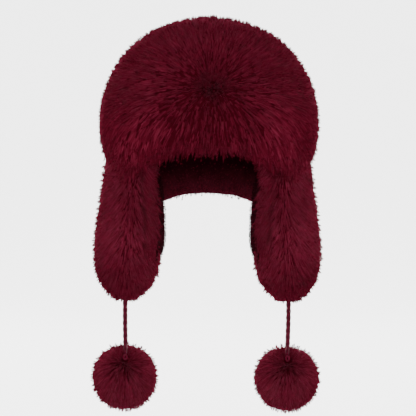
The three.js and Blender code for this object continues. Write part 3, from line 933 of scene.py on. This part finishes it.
def lining_pile(plush):
    """Plush hairs at the lining's hem, thickest along its edge: they point down and in."""
    rng = np.random.default_rng(SEEDS["lining_pile"])
    count = 6500
    level = level_way(rng.uniform(0, 2 * np.pi, count))
    hem = read(HEM, "turn", degrees_from_front(level), "lining") * MM
    above = np.minimum(rng.exponential(0.009, count), 0.04)
    height = hem + above - centre_of(HEAD)[2]
    drop = np.minimum(height / (HEAD["down"] * MM), 0)
    ring = on_egg(HEAD, level) - centre_of(HEAD)
    roots = centre_of(HEAD) + ring * np.sqrt(1 - drop**2)[:, None]
    roots = roots + UP * height[:, None]
    normals = egg_normal(HEAD, roots)
    roots = roots + normals * (rng.uniform(0, 1, count) * (above < 0.002) * WALL * MM)[:, None]
    down = in_surface(np.broadcast_to(-UP, roots.shape), normals)
    inward = rng.uniform(0.1, 1.0, count)[:, None]
    way = unit(down + rng.normal(0, 0.35, roots.shape) - normals * inward)
    lengths = plush.pile * rng.uniform(0.7, 1.1, count)
    paths = straight(roots - normals * 0.0002, way, lengths)
    widths = rng.uniform(0.0006, 0.0011, count) * np.where(above < 0.0015, 1.9, 1.0)
    # Hairs close to the hem are much lighter: painted light along the lining's lit edge.
    shades = np.clip(rng.uniform(0, 0.15, count) + 0.9 * np.exp(-above / 0.004), 0, 1)
    return spikes(paths, widths, normals, shades, rng)


def tongue_width(level):
    """The tongue's half width at a height, both in millimetres: straight, with a half-round foot."""
    below = np.clip(TONGUE["foot"] + TONGUE_HALF - level, 0, TONGUE_HALF)
    return np.sqrt(TONGUE_HALF**2 - below**2)


def tongue_rise(z):
    """0 at the tongue's foot and 1 from 35 mm above it, where the plush is at its full thickness."""
    foot = TONGUE["foot"] * MM
    return smoothstep(foot, foot + 0.035, z)


def flap_tongue():
    """The tongue's closed sheet: a flat side on the flap, and a ribbed side that thins to its edges."""
    levels = TONGUE["top"] + (TONGUE["foot"] - TONGUE["top"]) * np.sin(np.linspace(0, np.pi / 2, 36))
    half_width = np.maximum(tongue_width(levels), 0.6)
    across = np.linspace(-1, 1, 28)
    y = (TONGUE_MIDDLE + half_width[:, None] * across) * MM
    z = np.broadcast_to(levels[:, None] * MM, y.shape)
    edge = np.sqrt(1 - across**20)
    thick = 0.0004 + 0.004 * edge * tongue_rise(z)
    ribs = 0.00012 * np.cos(y / MM * 2.4) * edge
    near = panel_face(y, z) - 0.0005
    rings = np.concatenate([xyz(near, y, z), xyz(near - thick - ribs, y, z)[:, ::-1]], axis=1)
    return closed_rings(rings[0].mean(axis=0), rings, rings[-1].mean(axis=0))


def tongue_pile(plush):
    """Plush hairs over the tongue, one in five of them at its border: they point in and down."""
    rng = np.random.default_rng(SEEDS["tongue_pile"])
    count = 2000
    border = rng.uniform(0, 1, count) < 0.2
    z = rng.uniform(TONGUE["foot"] + 4, TONGUE["top"], count) * MM
    place = np.where(border, np.sign(rng.uniform(-1, 1, count)), rng.uniform(-1, 1, count))
    y = (TONGUE_MIDDLE + tongue_width(z / MM) * place * 0.98) * MM
    roots = xyz(panel_face(y, z) - 0.0006 - 0.004 * tongue_rise(z), y, z)
    way = xyz(-rng.uniform(0.2, 1, count), place * border * 0.8, -rng.uniform(0.2, 1, count))
    way = unit(way + rng.normal(0, 0.25, way.shape))
    paths = straight(roots, way, plush.pile * rng.uniform(0.6, 1.3, count))
    widths = rng.uniform(0.001, 0.0018, count)
    facing = np.broadcast_to([-1.0, 0, 0.01], roots.shape)
    # Low shades keep the pile dark: painted shade on the flap's neck side.
    return spikes(paths, widths, facing, rng.uniform(0, 0.3, count), rng)


# Materials


def new_group(name, sockets):
    """An empty node group with these sockets (name, in or out, and kind), and its two end nodes."""
    group = bpy.data.node_groups.new(name, "ShaderNodeTree")
    for label, way, kind in sockets:
        group.interface.new_socket(name=label, in_out=way, socket_type=f"NodeSocket{kind}")
    return group, group.nodes.new("NodeGroupInput"), group.nodes.new("NodeGroupOutput")


def join(tree, value, socket):
    """Links a socket's value into another socket, or sets the socket to a plain value."""
    if isinstance(value, bpy.types.NodeSocket):
        tree.links.new(value, socket)
    else:
        socket.default_value = value


def maths(tree, operation, *values):
    """A Math node on two or three sockets or numbers, and its result."""
    node = tree.nodes.new("ShaderNodeMath")
    node.operation = operation
    for socket, value in zip(node.inputs, values):
        join(tree, value, socket)
    return node.outputs[0]


def mixed(tree, share, first, second):
    """A colour Mix node on a share and two colours or sockets, and its result."""
    node = tree.nodes.new("ShaderNodeMix")
    node.data_type = "RGBA"
    for socket, value in zip((node.inputs[0], node.inputs[6], node.inputs[7]), (share, first, second)):
        join(tree, value, socket)
    return node.outputs[2]


def noise(tree, place, scale, detail):
    """A noise texture's value at a place."""
    node = tree.nodes.new("ShaderNodeTexNoise")
    for label, value in (("Vector", place), ("Scale", scale), ("Detail", detail)):
        join(tree, value, node.inputs[label])
    return node.outputs["Fac"]


def hair_shades():
    """A hair's colour: from its root's to its tip's, made darker or lighter by the hair's shade."""
    group, into, out = new_group(
        "Hair shades",
        [
            ("Shade", "INPUT", "Float"),
            ("Along", "INPUT", "Float"),
            ("Root", "INPUT", "Color"),
            ("Tip", "INPUT", "Color"),
            ("Light", "INPUT", "Color"),
            ("Colour", "OUTPUT", "Color"),
            ("Roughness", "OUTPUT", "Float"),
        ],
    )
    shade, along, root = (into.outputs[label] for label in ("Shade", "Along", "Root"))
    body = mixed(group, maths(group, "POWER", along, 0.8), root, into.outputs["Tip"])
    body = mixed(group, maths(group, "MULTIPLY_ADD", shade, -0.65, 0.65), body, root)
    bright = maths(group, "POWER", shade, 2.2)
    bright = maths(group, "MULTIPLY", bright, maths(group, "MULTIPLY_ADD", along, 0.7, 0.5))
    join(group, mixed(group, bright, body, into.outputs["Light"]), out.inputs["Colour"])
    join(group, maths(group, "MULTIPLY_ADD", along, -0.12, 0.62), out.inputs["Roughness"])
    return group


def plush_pile():
    """Short pile: fine noise for the tufts over broad noise for the nap, as a colour and a height."""
    group, into, out = new_group(
        "Plush pile",
        [
            ("Place", "INPUT", "Vector"),
            ("Deep", "INPUT", "Color"),
            ("Raised", "INPUT", "Color"),
            ("Tufts", "INPUT", "Float"),
            ("Colour", "OUTPUT", "Color"),
            ("Height", "OUTPUT", "Float"),
        ],
    )
    place = into.outputs["Place"]
    fine = noise(group, place, into.outputs["Tufts"], 3)
    broad = noise(group, place, 70, 2)
    height = maths(group, "MULTIPLY_ADD", fine, 0.6, maths(group, "MULTIPLY", broad, 0.4))
    sharper = maths(group, "SMOOTH_MIN", maths(group, "MULTIPLY_ADD", height, 2.6, -0.8), 1.0, 0.5)
    join(group, mixed(group, sharper, into.outputs["Deep"], into.outputs["Raised"]), out.inputs["Colour"])
    join(group, height, out.inputs["Height"])
    return group


def new_material(name, values):
    """A material with one Principled shader, its sockets' plain values, and that shader."""
    material = bpy.data.materials.new(name)
    material.use_nodes = True
    shader = material.node_tree.nodes["Principled BSDF"]
    for label, value in values.items():
        shader.inputs[label].default_value = value
    return material, shader


def placed_group(tree, name, make):
    """A node that holds the named group, made on first use."""
    node = tree.nodes.new("ShaderNodeGroup")
    node.node_tree = bpy.data.node_groups.get(name) or make()
    return node


def raise_surface(tree, height, distance, strength, shader):
    """Bumps a shader's normal by a height."""
    relief = tree.nodes.new("ShaderNodeBump")
    relief.inputs["Distance"].default_value = distance
    relief.inputs["Strength"].default_value = strength
    join(tree, height, relief.inputs["Height"])
    join(tree, relief.outputs["Normal"], shader.inputs["Normal"])


def hair_material(name, root, tip, light):
    """Hairs: the shade and the way from root to tip come from the hair's own UV."""
    values = {
        "Specular IOR Level": 0.0,
        "Sheen Weight": 0.06,
        "Sheen Roughness": 0.3,
        "Sheen Tint": (1, 0.6, 0.7, 1),
    }
    material, shader = new_material(name, values)
    tree = material.node_tree
    place = tree.nodes.new("ShaderNodeUVMap")
    place.uv_map = "OFBake"
    parts = tree.nodes.new("ShaderNodeSeparateXYZ")
    join(tree, place.outputs["UV"], parts.inputs[0])
    shades = placed_group(tree, "Hair shades", hair_shades)
    for label, value in (("Shade", parts.outputs["X"]), ("Along", parts.outputs["Y"])):
        join(tree, value, shades.inputs[label])
    for label, value in (("Root", root), ("Tip", tip), ("Light", light)):
        join(tree, value, shades.inputs[label])
    join(tree, shades.outputs["Colour"], shader.inputs["Base Color"])
    join(tree, shades.outputs["Roughness"], shader.inputs["Roughness"])
    return material


def pile_material(name, deep, raised, tufts, bump, shaded=None):
    """Plush or undercoat: the pile group's colours and bump on Object coordinates.

    Where two heights are given, the pile is in shade, darker from the lower to the upper one.
    """
    material, shader = new_material(name, {"Roughness": 0.95, "Specular IOR Level": 0.0})
    tree = material.node_tree
    place = tree.nodes.new("ShaderNodeTexCoord").outputs["Object"]
    pile = placed_group(tree, "Plush pile", plush_pile)
    for label, value in (("Place", place), ("Deep", deep), ("Raised", raised), ("Tufts", tufts)):
        join(tree, value, pile.inputs[label])
    shade = pile.outputs["Colour"]
    if shaded:
        parts = tree.nodes.new("ShaderNodeSeparateXYZ")
        join(tree, place, parts.inputs[0])
        rise = tree.nodes.new("ShaderNodeMapRange")
        rise.interpolation_type = "SMOOTHSTEP"
        join(tree, parts.outputs["Z"], rise.inputs["Value"])
        rise.inputs["From Min"].default_value, rise.inputs["From Max"].default_value = shaded
        rise.inputs["To Max"].default_value = 0.85
        dark = (*(part * 0.2 for part in deep[:3]), 1)
        shade = mixed(tree, rise.outputs["Result"], shade, dark)
    join(tree, shade, shader.inputs["Base Color"])
    raise_surface(tree, pile.outputs["Height"], bump, 0.8, shader)
    return material


def cord_material(name, deep, raised):
    """Twisted cord: painted shade between the plies and, more faintly, between the fine threads along each
    ply.
    """
    values = {"Roughness": 0.6, "Specular IOR Level": 0.2, "Specular Tint": (1, 0.3, 0.4, 1)}
    material, shader = new_material(name, values)
    tree = material.node_tree
    masks = {}
    for mask in ("ply", "thread"):
        node = tree.nodes.new("ShaderNodeAttribute")
        node.attribute_name = mask
        masks[mask] = node.outputs["Fac"]
    # Painted shade: darker between the plies, and a little between the threads.
    lit = maths(tree, "MULTIPLY_ADD", masks["thread"], 0.35, 0.65)
    share = maths(tree, "MULTIPLY", masks["ply"], lit)
    join(tree, mixed(tree, share, deep, raised), shader.inputs["Base Color"])
    raise_surface(tree, masks["thread"], 0.0003, 1.0, shader)
    return material


# How each finish is made: its function, the names of its colour settings and its own values.
FINISHES = {
    "Fur hair": (hair_material, ("root", "tip", "light"), {}),
    # Plush hair takes the fur's tip and light colours: with its shades, painted light along the lining's
    # edge.
    "Plush hair": (hair_material, ("plush", "tip", "light"), {}),
    # The tongue's pile uses the darker plush colours: painted shade on the flaps' neck sides.
    "Plush pile": (hair_material, ("plush_painted_shade", "plush_deep", "plush"), {}),
    "Undercoat": (pile_material, ("undercoat", "root"), {"tufts": 400.0, "bump": 0.002}),
    "Plush": (
        pile_material,
        ("plush_deep", "plush"),
        {"tufts": 900.0, "bump": 0.0008, "shaded": (-0.062, -0.012)},
    ),
    # A darker copy of the plush: painted shade on the flaps' neck sides.
    "Flap plush": (pile_material, ("plush_painted_shade", "plush_deep"), {"tufts": 900.0, "bump": 0.0008}),
    "Twisted cord": (cord_material, ("cord_painted_groove_shade", "cord"), {}),
    # The loop's lighter colour is painted light.
    "Tied loop": (cord_material, ("cord_painted_groove_shade", "loop"), {}),
}


def material_named(name):
    """The named finish, made on first use."""
    if name in bpy.data.materials:
        return bpy.data.materials[name]
    make, shades, values = FINISHES[name]
    colours = bpy.context.scene.ushanka.colour
    return make(name, *((*getattr(colours, shade), 1) for shade in shades), **values)


# Settings


def length_setting(name, description, default):
    """A length in metres, shown to a tenth of a millimetre."""
    return bpy.props.FloatProperty(
        name=name, description=description, default=default, unit="LENGTH", precision=4
    )


def number_setting(name, description, default, subtype):
    """An angle or a share."""
    return bpy.props.FloatProperty(name=name, description=description, default=default, subtype=subtype)


def colour_setting(name, description, default):
    """A colour in linear light."""
    return bpy.props.FloatVectorProperty(
        name=name, description=description, default=default, size=3, min=0, max=1, subtype="COLOR"
    )


def hair_settings(length, depth, spacing, width, wave, ragged, stand, strays):
    """The sizes that every fur has, with one fur's own defaults."""
    return {
        "length": length_setting("Length", "How far a hair runs along the fur", length),
        "depth": length_setting("Depth", "How deep under the fur's outer form a hair starts", depth),
        "spacing": length_setting("Clump spacing", "Distance between clumps of hair", spacing),
        "width": length_setting("Hair width", "Width of one modelled hair", width),
        "ragged": length_setting("Raggedness", "How unevenly the tips stand out", ragged),
        "stand": length_setting("Standing tips", "How far short tufts stand out of the fur", stand),
        "hairs": bpy.props.IntProperty(name="Hairs", description="Hairs in a clump", default=6, min=1),
        "wave": number_setting("Wave", "How far clumps turn aside", wave, "ANGLE"),
        "strays": number_setting("Strays", "Share of hairs outside their clump", strays, "FACTOR"),
    }


class CrownFurSettings(bpy.types.PropertyGroup):
    """Sizes of the crown's fur."""

    __annotations__ = hair_settings(
        length=0.03,
        depth=0.012,
        spacing=0.0034,
        width=0.0007,
        wave=0.13,
        ragged=0.0009,
        stand=0.0012,
        strays=0.006,
    )


class FlapFurSettings(bpy.types.PropertyGroup):
    """Sizes of the ear flaps' fur."""

    __annotations__ = hair_settings(
        length=0.028,
        depth=0.0115,
        spacing=0.0034,
        width=0.0007,
        wave=0.08,
        ragged=0.0009,
        stand=0.0012,
        strays=0.006,
    )


class PompomFurSettings(bpy.types.PropertyGroup):
    """Sizes of the pompoms' fur."""

    __annotations__ = hair_settings(
        length=0.022,
        depth=0.011,
        spacing=0.0028,
        width=0.00062,
        wave=0.11,
        ragged=0.0007,
        stand=0.0011,
        strays=0.004,
    )


class PlushSettings(bpy.types.PropertyGroup):
    """Sizes of the plush lining."""

    pile: length_setting("Pile", "Length of the plush pile at the edges", 0.003)
    ribs: bpy.props.IntProperty(name="Ribs", description="Ribs round the head opening", default=72)


class CordSettings(bpy.types.PropertyGroup):
    """Sizes of the twisted cords."""

    diameter: length_setting("Diameter", "Diameter of the cord over its plies", 0.0068)
    pitch: length_setting("Pitch", "Length of one full twist", CORD["pitch"] * MM)


class ColourSettings(bpy.types.PropertyGroup):
    """Colours of the hat."""

    root: colour_setting("Hair root", "Colour of the hair near the pelt", (0.044, 0.0018, 0.006))
    tip: colour_setting("Hair tip", "Colour of the hair's outer half", (0.152, 0.0072, 0.022))
    light: colour_setting("Light hair", "Colour of the lightest hairs", (0.275, 0.027, 0.06))
    undercoat: colour_setting("Undercoat", "Colour of the dense fur under the hair", (0.06, 0.0022, 0.0075))
    plush: colour_setting("Plush", "Colour of the plush's tufts", (0.1, 0.0095, 0.021))
    plush_deep: colour_setting("Plush depth", "Colour between the plush's tufts", (0.034, 0.0033, 0.0072))
    # The plush on the flaps is a darker copy of the lining's plush: painted shade.
    plush_painted_shade: colour_setting("Plush shade", "Colour of the plush on the flaps", (0.02, 0.002, 0.004))
    cord: colour_setting("Cord", "Colour of the cord's plies", (0.112, 0.0055, 0.021))
    # The loop is a lighter copy of the cord's colour: painted light where it sits deep in the pompom's fur.
    loop: colour_setting("Loop", "Colour of the cord's tied loop", (0.24, 0.014, 0.046))
    # The cord grooves' colour is painted shade between the plies.
    cord_painted_groove_shade: colour_setting("Cord grooves", "Colour between the cord's plies", (0.055, 0.002, 0.0095))


class StageSettings(bpy.types.PropertyGroup):
    """The camera and the floor."""

    distance: length_setting("Camera distance", "From the camera to the hat", 2.4)
    elevation: number_setting("Elevation", "Camera angle above level", np.radians(3.0), "ANGLE")
    roll: number_setting("Roll", "Camera turn about its line of sight", np.radians(0.5), "ANGLE")
    floor: length_setting("Floor", "Height of the floor", -0.42)


class UshankaSettings(bpy.types.PropertyGroup):
    """Everything that a user would change."""

    crown: bpy.props.PointerProperty(type=CrownFurSettings)
    flap: bpy.props.PointerProperty(type=FlapFurSettings)
    pompom: bpy.props.PointerProperty(type=PompomFurSettings)
    plush: bpy.props.PointerProperty(type=PlushSettings)
    cord: bpy.props.PointerProperty(type=CordSettings)
    colour: bpy.props.PointerProperty(type=ColourSettings)
    stage: bpy.props.PointerProperty(type=StageSettings)


# Operators


class USHANKA_OT_camera(bpy.types.Operator):
    """Aims the camera at the hat's middle from the front, a little above level."""

    bl_idname = "ushanka.camera"
    bl_label = "Camera"

    def execute(self, context):
        stage = context.scene.ushanka.stage
        back = np.array([0, -np.cos(stage.elevation), np.sin(stage.elevation)])
        data = bpy.data.cameras.new("camera")
        data.sensor_fit = "HORIZONTAL"
        data.angle = 2 * np.arctan(HALF_PICTURE / stage.distance)
        camera = placed("camera", data)
        camera.location = np.array(TARGET) + back * stage.distance
        camera.rotation_euler = Euler((np.pi / 2 - stage.elevation, 0, 0))
        camera.rotation_euler.rotate(Quaternion(back, stage.roll))
        context.scene.camera = camera
        return {"FINISHED"}


class USHANKA_OT_cords(bpy.types.Operator):
    """Twists each cord down from its flap and ties it in a small loop."""

    bl_idname = "ushanka.cords"
    bl_label = "Cords and loops"

    def execute(self, context):
        cord, cord_masks = twisted_cord(context.scene.ushanka.cord)
        loop, loop_masks = tied_loop()
        plain, tied = material_named("Twisted cord"), material_named("Tied loop")
        for name, flip in SIDES.items():
            add_piece(f"twisted_cord_{name}", cord, plain, f"cord_{name}", flip, cord_masks)
            add_piece(f"tied_loop_{name}", loop, tied, f"cord_loop_{name}", flip, loop_masks)
        return {"FINISHED"}


class USHANKA_OT_lining(bpy.types.Operator):
    """Lines the head opening with ribbed plush whose pile stands out along its edge."""

    bl_idname = "ushanka.lining"
    bl_label = "Head lining"

    def execute(self, context):
        plush = context.scene.ushanka.plush
        add_piece("plush_lining", head_lining(plush), material_named("Plush"), "crown_lining")
        add_piece("plush_edge", lining_pile(plush), material_named("Plush hair"), "crown_lining")
        return {"FINISHED"}


class USHANKA_OT_flap_linings(bpy.types.Operator):
    """Lays a plush tongue on the neck side of each ear flap."""

    bl_idname = "ushanka.flap_linings"
    bl_label = "Flap linings"

    def execute(self, context):
        tongue, pile = flap_tongue(), tongue_pile(context.scene.ushanka.plush)
        plush, hair = material_named("Flap plush"), material_named("Plush pile")
        for name, flip in SIDES.items():
            node = f"flap_lining_{name}"
            add_piece(f"plush_tongue_{name}", tongue, plush, node, flip)
            add_piece(f"plush_tongue_pile_{name}", pile, hair, node, flip)
        return {"FINISHED"}


class USHANKA_OT_crown_fur(bpy.types.Operator):
    """Grows the crown's fur away from its whorl, over an undercoat that keeps the crown's form."""

    bl_idname = "ushanka.crown_fur"
    bl_label = "Crown fur"

    def execute(self, context):
        sizes = context.scene.ushanka.crown
        add_piece("crown_undercoat", crown_undercoat(sizes), material_named("Undercoat"), "crown_fur")
        rng = np.random.default_rng(SEEDS["crown"])
        coat = crown_guides(sizes, rng)
        arms = coat["paths"][:, 0] - centre_of(CROWN)
        degrees = degrees_from_front(arms)
        high = unit(arms)[:, 2] > 0.72
        beside = ~high & (degrees >= 52) & (degrees < 128)
        parts = {
            "top": high,
            "front": ~high & (degrees < 52),
            "left": beside & (arms[:, 0] > 0),
            "right": beside & (arms[:, 0] <= 0),
            "back": ~high & (degrees >= 128),
        }
        for seed, (name, chosen) in enumerate(parts.items(), SEEDS["crown_fur"]):
            part = {key: values[chosen] for key, values in coat.items()}
            grown(f"crown_fur_{name}", part, sizes, "crown_fur", seed)
        grown("crown_rim_fur", rim_guides(rng), sizes, "crown_fur", SEEDS["rim_fur"])
        return {"FINISHED"}


class USHANKA_OT_flap_fur(bpy.types.Operator):
    """Grows each ear flap's fur down and out from the parting along its front."""

    bl_idname = "ushanka.flap_fur"
    bl_label = "Ear flap fur"

    def execute(self, context):
        sizes = context.scene.ushanka.flap
        undercoat = flap_undercoat(sizes)
        for side, (name, flip) in enumerate(SIDES.items()):
            node = f"ear_flap_{name}"
            add_piece(f"flap_undercoat_{name}", undercoat, material_named("Undercoat"), node, flip)
            coat = flap_guides(sizes, np.random.default_rng(SEEDS["flap"] + side))
            grown(f"flap_fur_{name}", coat, sizes, node, SEEDS["flap_fur"] + side, clear_of_tongue, flip)
            border = border_guides(sizes, np.random.default_rng(SEEDS["border"] + side))
            grown(f"flap_border_fur_{name}", border, sizes, node, SEEDS["border_fur"] + side, flip=flip)
        return {"FINISHED"}


class USHANKA_OT_pompoms(bpy.types.Operator):
    """Grows each pompom's fur away from its parting, clear of the cord and its loop."""

    bl_idname = "ushanka.pompoms"
    bl_label = "Pompoms"

    def execute(self, context):
        sizes = context.scene.ushanka.pompom
        core, triangles = pompom_core(sizes)
        for side, (name, flip) in enumerate(SIDES.items()):
            node = f"pompom_{name}"
            aside = LEFT * ASIDE[name] * MM
            ball = (core + aside, triangles)
            add_piece(f"pompom_core_{name}", ball, material_named("Undercoat"), node, flip)
            coat = pompom_guides(sizes, np.random.default_rng(SEEDS["pompom"] + side))
            coat["paths"] = coat["paths"] + aside
            grown(f"pompom_fur_{name}", coat, sizes, node, SEEDS["pompom_fur"] + side, clear_of_cord, flip)
            path = flip(cord_route())
        return {"FINISHED"}


class USHANKA_OT_stage(bpy.types.Operator):
    """Sets a plain pale floor that turns up into a backdrop, and soft studio lights."""

    bl_idname = "ushanka.stage"
    bl_label = "Floor and lights"

    def execute(self, context):
        low = context.scene.ushanka.stage.floor
        bend = np.linspace(0, np.pi / 2, 17)
        y = np.concatenate([[-6.0], 2.0 + 1.5 * np.sin(bend), [3.5]])
        z = low + np.concatenate([[0.0], 1.5 - 1.5 * np.cos(bend), [6.0]])
        points = xyz(np.array([[-6.0], [6.0]]), y, z).reshape(-1, 3)
        row = len(y)
        faces = [(k, k + row, k + row + 1, k + 1) for k in range(row - 1)]
        mesh = bpy.data.meshes.new("floor")
        mesh.from_pydata(points.tolist(), [], faces)
        mesh.polygons.foreach_set("use_smooth", np.ones(len(faces), bool))
        values = {
            "Base Color": (0.6, 0.6, 0.6, 1),
            "Roughness": 0.9,
            "Specular IOR Level": 0.1,
            "Emission Color": (1, 1, 1, 1),
        }
        material, shader = new_material("Pale floor", values)
        tree = material.node_tree
        seen = tree.nodes.new("ShaderNodeLightPath")
        bright = maths(tree, "MULTIPLY", seen.outputs["Is Camera Ray"], BACKDROP_GLOW)
        join(tree, bright, shader.inputs["Emission Strength"])
        mesh.materials.append(material)
        placed("floor", mesh)
        for name, (place, size, power) in LIGHTS.items():
            data = bpy.data.lights.new(name, "AREA")
            data.size = size
            data.energy = power
            light = placed(name, data)
            light.location = place
            way = unit(np.array(LIGHT_TARGET) - np.array(place))
            light.rotation_euler = (np.arccos(-way[2]), 0, np.arctan2(-way[0], way[1]))
        world = bpy.data.worlds.new("studio")
        world.use_nodes = True
        background = world.node_tree.nodes["Background"]
        background.inputs["Color"].default_value = (1, 1, 1, 1)
        background.inputs["Strength"].default_value = ROOM_LIGHT
        context.scene.world = world
        return {"FINISHED"}


class USHANKA_PT_panel(bpy.types.Panel):
    """Lists the hat's pieces and their settings."""

    bl_label = "Ushanka"
    bl_idname = "USHANKA_PT_panel"
    bl_space_type = "VIEW_3D"
    bl_region_type = "UI"
    bl_category = "Ushanka"

    def draw(self, context):
        settings = context.scene.ushanka
        for operator in OPERATORS:
            self.layout.operator(operator.bl_idname)
        for name in UshankaSettings.__annotations__:
            box = self.layout.box()
            box.label(text=name.title())
            group = getattr(settings, name)
            for prop in group.bl_rna.properties:
                if prop.identifier not in ("rna_type", "name"):
                    box.prop(group, prop.identifier)


SETTINGS = (
    CrownFurSettings,
    FlapFurSettings,
    PompomFurSettings,
    PlushSettings,
    CordSettings,
    ColourSettings,
    StageSettings,
    UshankaSettings,
)
OPERATORS = (
    USHANKA_OT_camera,
    USHANKA_OT_cords,
    USHANKA_OT_lining,
    USHANKA_OT_flap_linings,
    USHANKA_OT_crown_fur,
    USHANKA_OT_flap_fur,
    USHANKA_OT_pompoms,
    USHANKA_OT_stage,
)


def register():
    """Registers the settings, the operators and the panel."""
    for cls in (*SETTINGS, *OPERATORS, USHANKA_PT_panel):
        bpy.utils.register_class(cls)
    bpy.types.Scene.ushanka = bpy.props.PointerProperty(type=UshankaSettings)


def unregister():
    """Takes them out again."""
    del bpy.types.Scene.ushanka
    for cls in reversed((*SETTINGS, *OPERATORS, USHANKA_PT_panel)):
        bpy.utils.unregister_class(cls)


def main():
    """Builds the hat and its stage."""
    register()
    bpy.ops.ushanka.camera()
    bpy.ops.ushanka.cords()
    bpy.ops.ushanka.lining()
    bpy.ops.ushanka.flap_linings()
    bpy.ops.ushanka.crown_fur()
    bpy.ops.ushanka.flap_fur()
    bpy.ops.ushanka.pompoms()
    bpy.ops.ushanka.stage()


if __name__ == "__main__":
    main()
